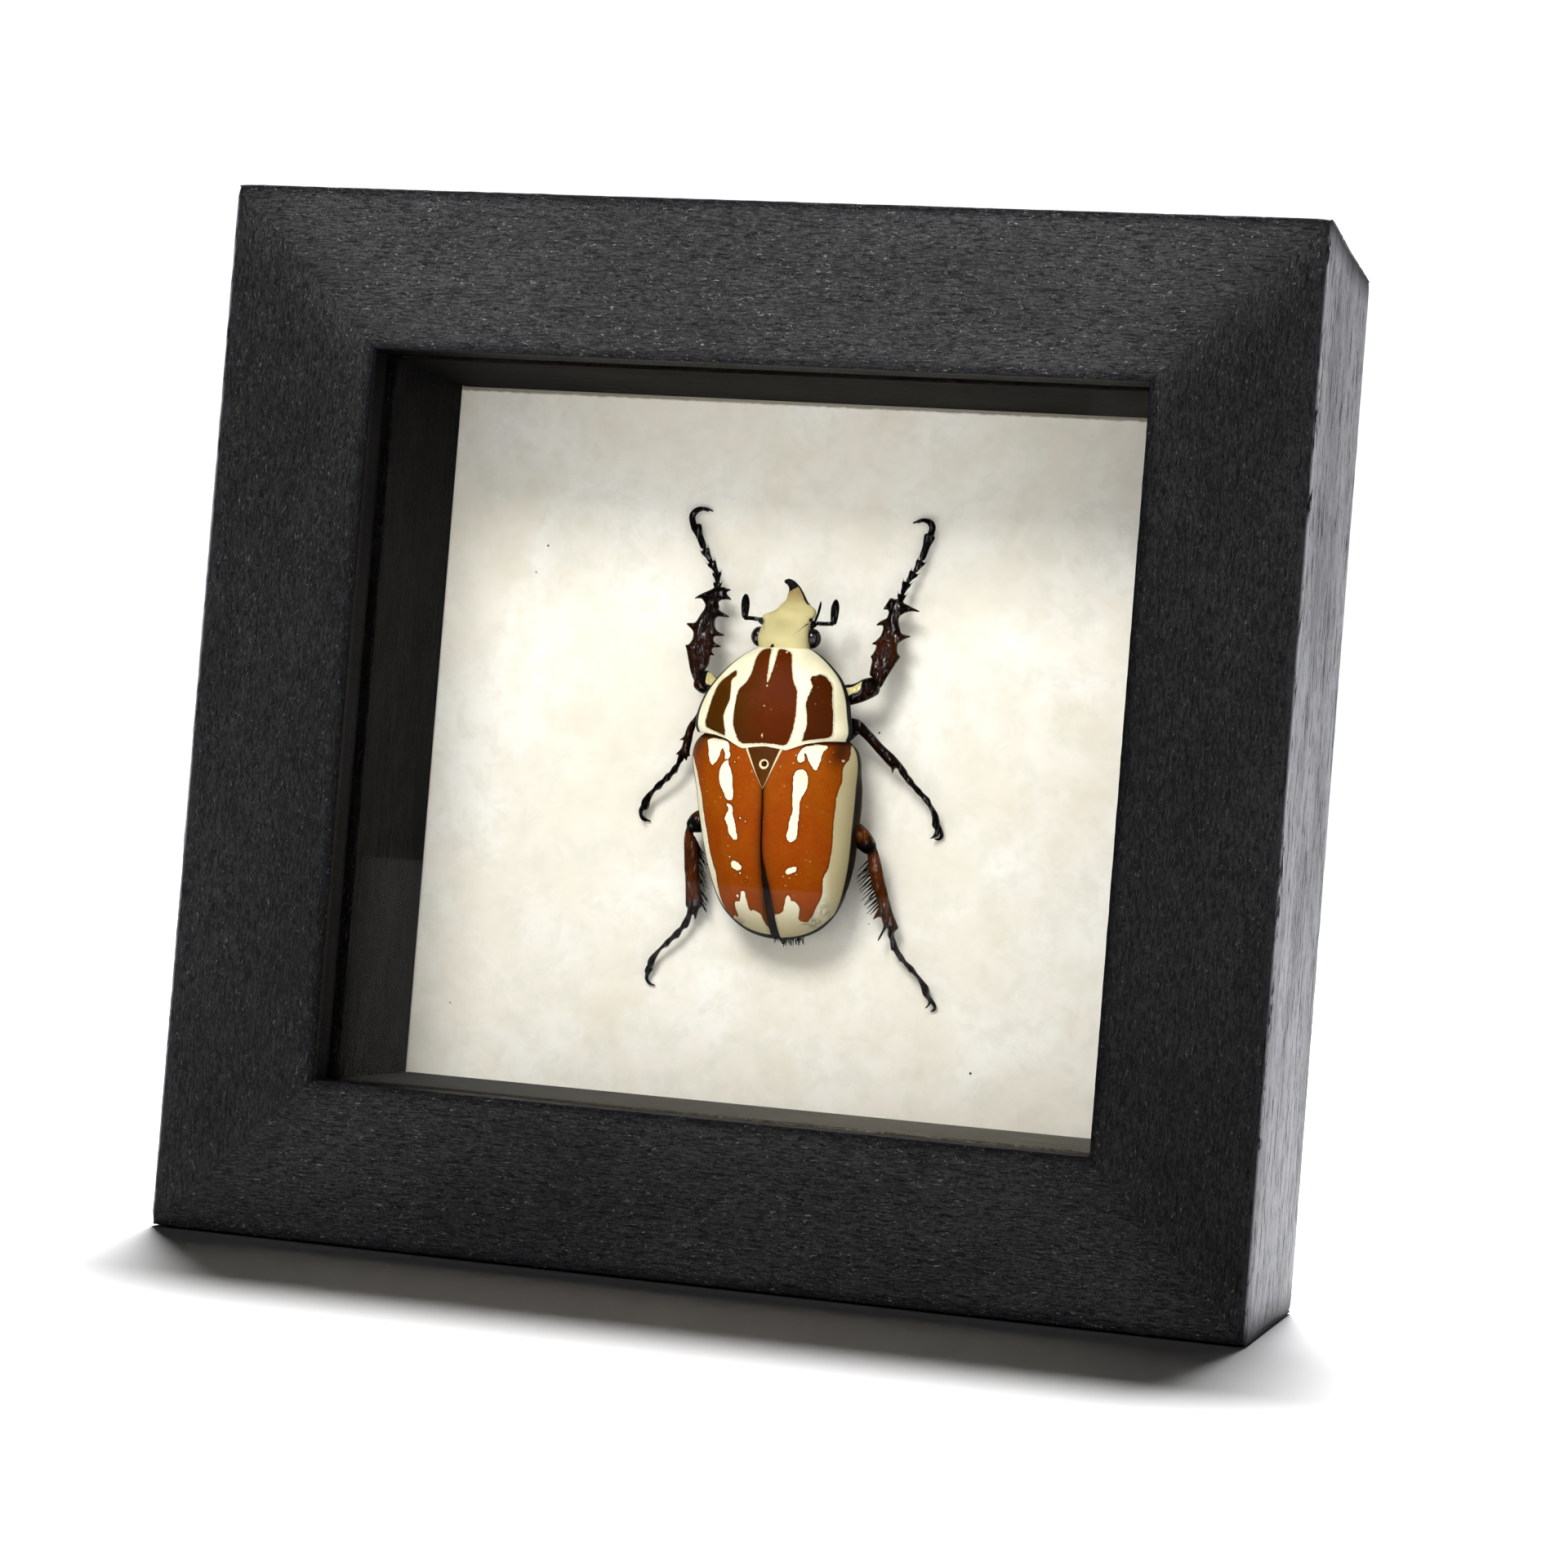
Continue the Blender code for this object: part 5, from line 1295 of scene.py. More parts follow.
# Rows of x, y, height and radius. Only the middle legs have a round thigh, and only the fore feet are
# built of joints: the others are in the traced outlines below.
legForm = {
    "fore_left": {
        "tarsus": ((-13.4, 31.6, 4.0, 0.5), (-13.4, 33.2, 3.5, 0.62), (-13.8, 34.9, 3.0, 0.66),
                   (-15.0, 36.6, 2.5, 0.66), (-16.4, 38.7, 2.1, 0.62), (-18.3, 42.7, 1.7, 0.9)),
        "claw": ((-18.5, 42.3, 1.7, 0.55), (-19.0, 44.0, 1.6, 0.5), (-18.5, 45.0, 1.4, 0.42),
                 (-17.5, 45.4, 1.2, 0.3), (-16.4, 45.0, 1.1, 0.12)),
    },
    "fore_right": {
        "tarsus": ((17.1, 30.8, 4.0, 0.5), (17.3, 32.6, 3.5, 0.62), (17.9, 34.6, 3.0, 0.66),
                   (18.9, 36.3, 2.5, 0.66), (19.8, 38.2, 2.1, 0.62), (20.9, 42.6, 1.7, 0.9)),
        "claw": ((20.9, 42.2, 1.7, 0.55), (21.1, 43.6, 1.6, 0.5), (20.5, 44.5, 1.4, 0.42),
                 (19.3, 44.8, 1.2, 0.3), (17.8, 44.3, 1.1, 0.12)),
    },
    "middle_left": {
        "femur": ((-9.0, 8.0, 4.6, 1.5), (-12.1, 10.0, 4.9, 1.6), (-14.7, 11.5, 5.4, 1.2)),
        "claw": ((-24.0, -3.1, 1.3, 0.5), (-24.8, -4.3, 1.3, 0.42), (-24.8, -5.2, 1.2, 0.36),
                 (-24.4, -5.7, 1.1, 0.28), (-23.6, -6.0, 1.0, 0.12)),
    },
    "middle_right": {
        "femur": ((8.0, 8.5, 4.6, 1.5), (10.2, 10.2, 5.4, 1.5), (12.3, 11.4, 6.2, 1.1)),
        "claw": ((24.9, -3.8, 1.3, 0.5), (25.4, -4.9, 1.3, 0.42), (25.3, -5.6, 1.2, 0.36),
                 (24.7, -6.1, 1.1, 0.28), (23.8, -6.1, 1.0, 0.12)),
    },
    "hind_left": {
        "claw": ((-21.1, -29.6, 1.3, 0.5), (-21.9, -30.9, 1.3, 0.42), (-22.1, -31.7, 1.2, 0.36),
                 (-21.8, -32.3, 1.1, 0.28), (-21.1, -32.6, 1.0, 0.12)),
    },
    "hind_right": {
        "claw": ((24.8, -30.9, 1.3, 0.5), (25.6, -31.9, 1.3, 0.42), (25.9, -32.6, 1.2, 0.36),
                 (25.7, -33.2, 1.1, 0.28), (25.0, -33.6, 1.0, 0.12)),
    },
}
# Shins with their teeth and feet as traced from above: closed outlines in beetle millimetres,
# with height and warmth of colour along y; warmth above 1 is a painted highlight.
shinForm = {
    "fore_left": {"heights": ((18.9, 6.2), (32.4, 4.4)), "thick": 0.95, "reach": 1.3,
        "tones": ((16, 0.12), (19, 0.16), (21.5, 0.2), (24.5, 0.2), (26.5, 0.05), (33, 0.0)),
        "outline": (
            (-11.93, 32.51), (-11.77, 32.31), (-10.56, 32.13), (-11.5, 31.72), (-11.42, 31.32),
            (-10.37, 30.36), (-11.03, 30.5), (-11.58, 30.48), (-12.25, 30.35), (-12.63, 30.06),
            (-12.68, 29.79), (-12.57, 29.46), (-12.41, 29.27), (-12.56, 28.93), (-12.42, 28.67),
            (-12.06, 28.48), (-11.33, 28.11), (-10.49, 27.68), (-11, 27.55), (-11.69, 27.59),
            (-12.38, 27.64), (-12.78, 27.49), (-12.94, 27.1), (-12.94, 26.44), (-12.82, 25.91),
            (-12.56, 25.45), (-12.11, 25.11), (-11.54, 24.87), (-10.94, 24.65), (-11.36, 24.5),
            (-12.04, 24.44), (-12.59, 24.45), (-12.85, 24.27), (-12.91, 23.9), (-12.78, 23.57),
            (-12.47, 23.25), (-12.03, 23.04), (-11.43, 22.87), (-11.65, 22.64), (-12.26, 22.59),
            (-12.74, 22.57), (-12.95, 22.36), (-13, 22.02), (-12.85, 21.7), (-12.63, 21.51),
            (-12.41, 21.34), (-12.6, 21.24), (-13.06, 21.29), (-13.17, 21.08), (-13.17, 20.55),
            (-13.21, 19.88), (-13.37, 19.41), (-13.68, 19.12), (-13.78, 18.66), (-14, 17.85),
            (-14.63, 17.03), (-15.3, 16.74), (-15.6, 17.18), (-15.92, 17.76), (-16.24, 18.54),
            (-16.55, 19.59), (-16.89, 20.78), (-17.22, 21.97), (-17.59, 22.82), (-17.17, 22.8),
            (-16.85, 23.05), (-16.55, 23.47), (-16.39, 23.88), (-16.35, 24.41), (-16.43, 24.95),
            (-16.6, 25.21), (-16.98, 25.59), (-17.74, 26.16), (-17.62, 26.37), (-17.07, 26.42),
            (-16.45, 26.44), (-16.07, 26.7), (-15.9, 27.04), (-15.67, 27.52), (-15.39, 28.07),
            (-15.06, 28.55), (-14.87, 29.03), (-14.83, 29.37), (-14.97, 29.7), (-15.28, 30.09),
            (-15.56, 30.41), (-15.92, 30.46), (-16.39, 30.42), (-16.83, 30.36), (-16.69, 30.57),
            (-16.18, 30.99), (-15.4, 31.42), (-14.61, 31.79), (-13.89, 32.16), (-13.64, 32.44))},
    "fore_right": {"heights": ((19.0, 6.2), (31.8, 4.4)), "thick": 0.95, "reach": 1.3,
        "tones": ((16, 0.06), (18.5, 0.14), (21.5, 0.26), (25, 0.34), (27, 0.08), (33, 0.0)),
        "outline": (
            (17.78, 31.42), (17.9, 31.16), (18.29, 30.98), (19.13, 30.59), (19.83, 30.31), (20.7, 29.89),
            (20.62, 29.78), (19.87, 29.85), (19.07, 29.84), (18.49, 29.66), (17.91, 29.37), (17.55, 29.03),
            (17.34, 28.69), (17.32, 28.29), (17.47, 27.77), (17.66, 27.12), (17.81, 26.59), (18.09, 26.14),
            (18.78, 25.98), (19.59, 25.85), (19.54, 25.72), (18.83, 25.45), (18.2, 25.09), (17.64, 24.61),
            (17.51, 24.2), (17.54, 23.55), (17.73, 22.96), (18.03, 22.65), (18.23, 22.42), (18.02, 22.12),
            (17.62, 21.44), (17.16, 20.63), (16.82, 19.96), (16.37, 19.15), (15.9, 18.21), (15.61, 17.55),
            (15.23, 17.2), (14.62, 17.37), (14.17, 18), (14.06, 18.71), (13.84, 18.96), (13.52, 19.21),
            (13.42, 19.47), (13.46, 20.07), (13.53, 20.73), (13.6, 21.39), (13.59, 21.79), (13.52, 21.98),
            (13.3, 22.14), (13.37, 22.37), (13.61, 22.71), (13.83, 23.12), (14.05, 23.65), (14.08, 24.05),
            (13.93, 24.22), (13.46, 24.2), (13.31, 24.39), (13.93, 24.84), (14.29, 25.25), (14.59, 25.66),
            (14.76, 26), (14.85, 26.46), (14.94, 26.86), (14.88, 27.19), (14.69, 27.38), (14.36, 27.34),
            (13.89, 27.28), (13.72, 27.41), (14.23, 27.96), (14.54, 28.17), (15.37, 28.6), (15.42, 28.87),
            (15.58, 29.27), (15.57, 29.6), (15.45, 29.86), (15.17, 29.98), (14.84, 29.9), (14.61, 29.96),
            (14.85, 30.5), (15.14, 30.98), (15.36, 31.45), (15.53, 31.79), (15.79, 31.89), (16.13, 31.84),
            (16.35, 31.66), (16.68, 31.77), (17.28, 31.79))},
    "middle_left": {"heights": ((-5.8, 1.3), (4.2, 3.7), (11.8, 5.6)), "thick": 0.85, "reach": 1.1,
        "tones": ((-8, 0.0), (4.3, 0.03), (5.4, 0.18), (12, 0.3)),
        "outline": (
            (-14.89, 11.78), (-15.44, 10.97), (-15.99, 10.43), (-16.41, 9.75), (-16.75, 8.95),
            (-16.97, 8.16), (-17.38, 7.81), (-17.93, 7.39), (-17.25, 7.43), (-17.14, 7.37), (-17.25, 6.97),
            (-17.46, 6.31), (-17.81, 5.77), (-18.22, 5.42), (-18.57, 5.05), (-18.02, 5.1), (-18.16, 4.57),
            (-18.3, 4.04), (-18.4, 3.64), (-18.78, 3.36), (-19.13, 2.95), (-19.34, 2.54), (-19.55, 2.16),
            (-20.03, 1.98), (-20.38, 1.57), (-20.66, 1.16), (-20.93, 0.88), (-21.42, 0.62), (-21.9, 0.17),
            (-22.18, -0.24), (-22.39, -0.65), (-23.09, -1.15), (-23.65, -1.77), (-24.13, -2.33),
            (-24.41, -3), (-24.42, -3.53), (-24.35, -3.72), (-24.63, -4.2), (-24.77, -4.74),
            (-24.71, -5.33), (-24.36, -5.77), (-23.88, -6.01), (-23.32, -6.04), (-23.81, -5.74),
            (-24.08, -5.36), (-24.15, -4.83), (-24.1, -4.37), (-23.87, -4.16), (-23.52, -4.14),
            (-23.17, -3.92), (-22.96, -3.45), (-22.89, -2.78), (-22.61, -2.11), (-22.19, -1.3),
            (-21.7, -0.81), (-21.15, -0.71), (-20.87, -0.37), (-20.59, 0.11), (-20.04, 0.66),
            (-19.55, 0.76), (-19.28, 1.23), (-18.93, 1.77), (-18.51, 2.06), (-18.24, 2.1), (-18.03, 2.74),
            (-17.82, 3.28), (-17.54, 3.82), (-17.13, 4.17), (-16.99, 4.63), (-16.91, 4.37), (-16.69, 4.06),
            (-16.51, 4.53), (-16.35, 4.99), (-16.03, 4.75), (-16.1, 5.46), (-16.02, 6.12), (-15.88, 6.78),
            (-15.67, 7.44), (-15.59, 8.1), (-15.45, 8.76), (-15.1, 9.69), (-14.96, 10.35), (-14.75, 11.27),
            (-13.82, 12.62), (-13.88, 13.41), (-14.41, 13.12))},
    "middle_right": {"heights": ((-6.2, 1.3), (4.3, 3.6), (12.6, 6.4)), "thick": 0.85, "reach": 1.1,
        "tones": ((-8, 0.0), (3.4, 0.02), (5, 0.09), (8, 0.12), (11, 0.05)),
        "outline": (
            (8.96, 11.61), (9.78, 12.17), (10.63, 12.31), (11.38, 12.31), (12.11, 12.15), (12.49, 11.98),
            (13, 11.51), (13.5, 11.04), (14.15, 10.34), (14.74, 9.82), (15.33, 9.12), (15.91, 8.51),
            (16.57, 7.9), (17.23, 7.39), (17.96, 6.79), (18.49, 6.21), (18.99, 5.7), (19.41, 5.14),
            (19.8, 4.74), (20, 4.33), (20.16, 3.9), (20.53, 3.57), (20.99, 3.09), (21.21, 2.66),
            (21.58, 2.26), (22.1, 1.86), (22.41, 1.51), (22.64, 1.17), (23.16, 0.77), (23.61, 0.43),
            (23.84, 0.08), (23.99, -0.48), (24.44, -1.1), (24.9, -1.72), (25.21, -2.28), (25.36, -2.99),
            (25.42, -3.85), (25.46, -4.7), (25.32, -5.44), (24.89, -5.82), (24.31, -6), (23.65, -6.04),
            (24.14, -5.79), (24.51, -5.26), (24.64, -4.75), (24.57, -4.47), (24.35, -4.34), (24.19, -4.06),
            (24.11, -3.78), (24.18, -3.2), (24.09, -2.49), (23.93, -1.77), (23.63, -1.22), (23.33, -0.8),
            (22.89, -0.4), (22.51, 0.01), (22.21, 0.5), (21.68, 0.83), (21.31, 1.23), (20.93, 1.72),
            (20.55, 2.06), (20.19, 2.26), (19.87, 2.59), (19.51, 3.15), (18.98, 3.69), (18.6, 4.18),
            (18.46, 4.75), (18, 4.79), (17.7, 4.27), (17.56, 3.76), (17.45, 4.33), (17.42, 4.76),
            (17.05, 5.02), (16.32, 5.7), (15.73, 6.37), (15.01, 7.05), (14.42, 7.74), (13.7, 8.49),
            (12.96, 9.23), (12.3, 9.76), (11.93, 9.96), (11.49, 9.97), (10.9, 10.12), (10.6, 10.39),
            (9.21, 10.6))},
    "hind_left": {"heights": ((-31.3, 1.3), (-19.4, 2.9), (-6.4, 4.8)), "thick": 1.0, "reach": 1.2,
        "tones": ((-33, 0.0), (-18.6, 0.05), (-18, 0.9), (-8, 1.0), (-6.5, 0.6), (-5.6, 0.1)),
        "outline": (
            (-15.42, -6.04), (-15.67, -6.79), (-15.9, -7.56), (-15.98, -8.69), (-15.95, -10.19),
            (-15.86, -11.69), (-15.82, -13.38), (-15.66, -14.31), (-15.56, -16.19), (-15.51, -18.07),
            (-15.44, -19.43), (-15.13, -19.46), (-15.2, -19.94), (-15.24, -20.61), (-15.53, -21.09),
            (-15.8, -21.58), (-16.18, -22.27), (-16.31, -22.75), (-16.85, -23.06), (-17.32, -23.57),
            (-17.71, -24.07), (-17.98, -24.46), (-18.57, -24.84), (-19.05, -25.48), (-19.44, -25.97),
            (-20.11, -26.68), (-20.88, -27.4), (-21.45, -28.1), (-21.73, -28.78), (-21.62, -29.16),
            (-21.99, -29.66), (-22.14, -30.24), (-21.96, -30.79), (-21.66, -31.12), (-21.48, -30.76),
            (-21.55, -30.2), (-21.41, -29.72), (-21.11, -29.44), (-20.72, -29.58), (-20.52, -29.18),
            (-20.35, -28.41), (-19.97, -27.63), (-19.51, -26.84), (-18.93, -26.23), (-18.24, -26.09),
            (-17.86, -25.41), (-17.19, -24.7), (-16.51, -24.56), (-16.23, -24.07), (-15.95, -23.39),
            (-15.57, -22.89), (-15.17, -22.92), (-14.8, -22.36), (-14.53, -21.41), (-14.36, -20.64),
            (-14.13, -20.54), (-13.95, -20.89), (-13.88, -21.55), (-13.56, -20.96), (-13.39, -20.2),
            (-13.11, -19.43), (-12.73, -19.22), (-12.45, -18.63), (-12.85, -18.47), (-12.96, -17.91),
            (-13.09, -16.42), (-13.22, -14.91), (-13.36, -13.42), (-13.44, -11.92), (-13.47, -10.41),
            (-13.67, -9.11), (-14.07, -8.38), (-14.39, -7.74), (-14.5, -7.04), (-14.72, -6.13))},
    "hind_right": {"heights": ((-33.3, 1.3), (-20.5, 3.1), (-8.1, 5.7)), "thick": 1.0, "reach": 1.25,
        "tones": ((-34, 0.0), (-21.5, 0.05), (-19.5, 0.45), (-15, 0.9), (-9.5, 1.15), (-8.4, 0.5),
                  (-7.6, 0.05)),
        "outline": (
            (14.76, -8.77), (14.76, -9.3), (14.84, -9.85), (14.88, -10.58), (15, -11.51), (15.2, -12.42),
            (15.49, -13.52), (15.9, -14.79), (16.29, -15.88), (16.6, -16.97), (16.79, -17.51),
            (16.52, -17.91), (16.23, -18.57), (15.74, -19.6), (16.44, -19.12), (17.11, -18.99),
            (17.34, -19.34), (17.4, -19.89), (17.6, -20.26), (17.51, -20.81), (17.16, -21.59),
            (16.8, -22.35), (16.63, -23.02), (16.99, -22.61), (17.45, -21.84), (17.91, -20.98),
            (18.18, -20.58), (18.32, -20.95), (18.26, -21.52), (18.35, -22.06), (18.67, -22.41),
            (18.74, -23.15), (18.85, -23.71), (18.92, -24.26), (19.14, -24.21), (19.39, -24.32),
            (19.74, -24.95), (20.15, -25.48), (20.35, -25.9), (20.83, -25.91), (21.22, -26.53),
            (21.72, -27.05), (22.03, -27.55), (22.5, -27.64), (23.09, -28.16), (23.59, -28.87),
            (23.99, -29.69), (24.22, -30.6), (24.42, -31.06), (24.81, -31.3), (25.1, -31.48),
            (25.29, -31.83), (25.22, -32.4), (24.95, -32.79), (24.67, -33), (24.97, -33.07),
            (25.41, -32.66), (25.75, -32.18), (25.77, -31.71), (25.62, -31.16), (25.42, -30.7),
            (25.47, -30.15), (25.22, -29.41), (24.63, -28.91), (24.14, -28.38), (23.46, -27.68),
            (23.05, -27.15), (22.66, -26.53), (21.98, -26.1), (21.39, -25.67), (21.08, -25.04),
            (20.48, -24.34), (20.09, -23.71), (19.88, -23.08), (19.57, -22.36), (19.31, -21.81),
            (19.4, -21.25), (19.81, -20.86), (20.08, -20.55), (19.79, -19.92), (19.39, -19.02),
            (18.99, -18.11), (18.59, -16.66), (18.19, -15.2), (17.69, -13.38), (17.28, -11.55),
            (16.97, -10.1), (16.57, -8.83), (16.19, -7.92), (15.46, -7.82))},
}
# Thighs seen beside the body, with warm spots as x, y, size and strength, and the cream patch; a strength
# above 1 paints a bright orange highlight on the knee.
thighForm = {
    "fore_left": {"height": 6.7, "thick": 1.45, "warm": ((-14.9, 16.4, 1.0, 0.35),),
        "patch": (
            (-12.99, 18.46), (-12.68, 18.47), (-12.46, 18.29), (-11.66, 17.6), (-11.24, 17.36),
            (-11.62, 16.94), (-11.99, 16.4), (-12.33, 16.28), (-12.82, 16.56), (-13.01, 16.88),
            (-12.96, 17.54)),
        "outline": (
            (-15.39, 16.84), (-15.42, 16.18), (-15.19, 15.79), (-14.68, 15.35), (-13.97, 14.99),
            (-13.28, 14.98), (-11.9, 14.76), (-9.82, 14.34), (-8.51, 15.19), (-8.9, 17.01), (-10.56, 17.33),
            (-11.4, 17.55), (-12.12, 18.05), (-12.84, 18.6), (-13.54, 18.77), (-14.25, 18.8),
            (-15, 18.17))},
    "fore_right": {"height": 6.7, "thick": 1.45, "warm": ((14.0, 15.0, 2.0, 0.2),),
        "patch": (
            (9.23, 16.95), (10.03, 16.99), (10.83, 17.03), (11.35, 17.25), (11.99, 17.67), (12.69, 18.22),
            (12.66, 17.7), (12.63, 17.18), (12.46, 16.65), (12.08, 16.35), (11.42, 16.18), (10.91, 15.86),
            (10.64, 15.78), (9.31, 15.72)),
        "outline": (
            (6.31, 16.55), (8.15, 17.3), (9.74, 17.57), (10.94, 17.69), (11.59, 17.98), (12.11, 18.33),
            (12.5, 18.54), (12.95, 18.7), (13.41, 18.85), (13.94, 18.94), (14.63, 18.64), (15.21, 17.89),
            (15.46, 17.25), (15.4, 16.73), (15.25, 16.33), (14.8, 15.98), (14.29, 15.7), (13.77, 15.41),
            (13.12, 15.06), (12.47, 14.83), (11.81, 14.6), (11.29, 14.45), (10.5, 14.17), (8.39, 13.65),
            (6.49, 13.82))},
    "hind_left": {"height": 5.2, "thick": 1.7, "warm": ((-12.6, -3.9, 1.1, 1.5),),
        "outline": (
            (-10.53, -2.21), (-12.15, -2.7), (-13.65, -3.66), (-14.4, -4.09), (-15.04, -4.79),
            (-15.48, -5.66), (-15.47, -6.45), (-15.29, -6.96), (-14.86, -7.34), (-14.39, -7.39),
            (-13.62, -7.37), (-12.94, -7.3), (-10.27, -6.15))},
    "hind_right": {"height": 6.0, "thick": 1.7,
        "warm": ((14.5, -6.0, 0.9, 1.3), (13.4, -5.4, 1.7, 0.6)),
        "outline": (
            (8.79, -3), (11.5, -3.37), (13.11, -4.11), (13.91, -4.62), (14.72, -5.32), (15.34, -6.02),
            (15.87, -6.75), (16.19, -7.38), (16.34, -8.02), (16.13, -8.7), (15.55, -9.16), (14.87, -9.19),
            (14.29, -9.06), (13.7, -8.63), (13, -8.22), (12.49, -7.69), (10.4, -7.08))},
}


# Size of the triangles in a traced outline, their clearance from its edge, and how it swells.
puffForm = {"step": 0.16, "clear": 0.45, "reach": 1.15, "lumps": 0.13, "below": 0.85}


# A traced outline filled with small triangles and swollen to both sides, thin along its edge.
def puffed(store, form, middle, tone, patch=None):
    step = puffForm["step"]
    swellReach = form.get("reach", form["thick"] * puffForm["reach"])
    line = rounded(form["outline"], 1)
    closed = np.vstack([line, line[:1]])
    reach = np.r_[0, np.cumsum(np.hypot(*np.diff(closed, axis=0).T))]
    count = int(reach[-1] / step)
    at = np.arange(count) * reach[-1] / count
    edge = np.stack([np.interp(at, reach, closed[:, k]) for k in (0, 1)], 1)
    across, up = np.meshgrid(*(np.arange(edge[:, k].min(), edge[:, k].max(), step) for k in (0, 1)))
    across[1::2] += step / 2
    inner = np.stack([across.ravel(), up.ravel()], 1)
    inner = inner[signedDistance(inner, edge) > step * puffForm["clear"]]
    corners = [Vector(p) for p in np.vstack([edge, inner])]
    made, _, faces, *_ = delaunay_2d_cdt(corners, [], [list(range(count))], 1, 1e-6)
    flat = np.array([(v.x, v.y) for v in made])
    inside = np.clip(signedDistance(flat, edge), 0, None)
    inside[inside < 1e-4] = 0
    swell = form["thick"] * np.sqrt(1 - (1 - np.minimum(inside / swellReach, 1)) ** 2)
    lumps = np.array([noise.noise(Vector((x * 1.6, y * 0.9, 3.1)))
                      + 0.6 * noise.noise(Vector((x * 4.5, y * 3.0, 1.7))) for x, y in flat])
    swell *= 1 + puffForm["lumps"] * lumps
    centre = middle(flat[:, 1])
    start = len(store["points"])
    free = np.flatnonzero(inside > 0)
    other = np.arange(len(flat))
    other[free] = len(flat) + np.arange(len(free))
    store["points"] += np.stack([flat[:, 0], flat[:, 1], centre + swell], 1).tolist()
    lower = (centre - swell * puffForm["below"])[free]
    store["points"] += np.stack([flat[free, 0], flat[free, 1], lower], 1).tolist()
    warm = tone(flat)
    cream = np.zeros(len(flat))
    if patch is not None:
        cream = 1 + np.clip(signedDistance(flat, rounded(patch, 1)), -1, 1)
    store["tone"] += warm.tolist() + warm[free].tolist()
    store["cream"] += cream.tolist() + [0.0] * len(free)
    store["faces"] += [tuple(start + k for k in face) for face in faces]
    store["faces"] += [tuple(start + int(other[k]) for k in face)[::-1] for face in faces]


legLook = {
    "black": (0.0012, 0.001, 0.0009, 1), "brown": (0.07, 0.0145, 0.0016, 1),
    # bright: the orange of the painted highlights
    "bright": (0.21, 0.075, 0.015, 1), "cream": (0.70, 0.60, 0.28, 1), "straw": (0.52, 0.43, 0.17, 1),
    "dust": (0.2, 0.17, 0.13, 1),
}


def legFinish():
    look = legLook
    made, tree, shader = newMaterial("leg_shell")
    where = place(tree)
    skin = useGroup(tree, skinGroup, {"Position": where, "Puncture Size": 0.0003})
    stripes = noiseNode(tree, scaled(tree, where, (1500.0, 1500.0, 230.0)), 1.0, 3.0, 0.6, 0.4)
    warm = times(tree, attribute(tree, "tone"), rangeNode(tree, stripes, 0.36, 0.6, 0.5, 1.15))
    colour = mixColour(tree, warm, look["black"], look["brown"])
    # warmth above 1 mixes towards bright orange: a painted highlight
    bright = mathNode(tree, "SUBTRACT", warm, 1.0)
    colour = mixColour(tree, rangeNode(tree, bright, 0.0, 1.0), colour, look["bright"])
    inside = mathNode(tree, "SUBTRACT", attribute(tree, "cream"), 1.0)
    mark = useGroup(tree, markGroup, {"Distance": inside, "Position": where,
                                      "Ragged": 0.2, "Softness": 0.06})
    pale = mottled(tree, skin, look["cream"], look["straw"])
    colour = mixColour(tree, mark["Mask"], colour, pale)
    colour = tint(tree, colour, skin["Dust"], 0.3, look["dust"])
    wire(tree, colour, shader.inputs["Base Color"])
    wire(tree, rangeNode(tree, skin["Height"], 0.2, 0.8, 0.07, 0.22), shader.inputs["Roughness"])
    drawn = scaled(tree, where, (1900.0, 1900.0, 420.0), (1.0, 3.0, 2.0))
    ridges = noiseNode(tree, drawn, 1.0, 4.0, 0.65, 0.5)
    wire(tree, rangeNode(tree, ridges, 0.53, 0.64, 0.03, 0.95), shader.inputs["Specular IOR Level"])
    bump(tree, shader, plus(tree, times(tree, ridges, 0.6), times(tree, skin["Height"], 0.4)), 0.85, 0.0002)
    return made


# Thigh, traced shin and foot, and the second claw below the first.
def leg(name, parts, material):
    store = {"points": [], "faces": [], "tone": [], "cream": []}
    shin, thigh = shinForm[name], thighForm.get(name)
    if "femur" in parts:
        limb(store, [(*row, 0.85) for row in parts["femur"]], 24, 30, 0.05, 0.06)
    levels, tones = np.array(shin["heights"]), np.array(shin["tones"])
    puffed(store, shin, lambda y: np.interp(y, levels[:, 0], levels[:, 1]),
           lambda flat: np.interp(flat[:, 1], tones[:, 0], tones[:, 1]))
    if thigh:
        puffed(store, thigh, lambda y: np.full(len(y), thigh["height"]),
               lambda flat: sum(s * hill(*flat.T, x, y, r, r) for x, y, r, s in thigh["warm"]),
               thigh.get("patch"))
    if "tarsus" in parts:
        foot(store, parts["tarsus"])
        limb(store, [(*row, 0.9) for row in parts["claw"]], 12, 26, 0.0, 0.0, False)
    under = [(x + 0.6 * k / 4, y + 0.1 * k / 4, max(h - 0.75 * k / 4, 0.45), r * 0.8, 0.9)
             for k, (x, y, h, r) in enumerate(parts["claw"])]
    limb(store, under, 12, 26, 0.0, 0.0, False)
    return beetlePiece("leg_" + name, store["points"], store["faces"], material,
                       {"tone": store["tone"], "cream": store["cream"]})


legMaterial = legFinish()
legPieces = [leg(name, parts, legMaterial) for name, parts in legForm.items()]
print("legs done")


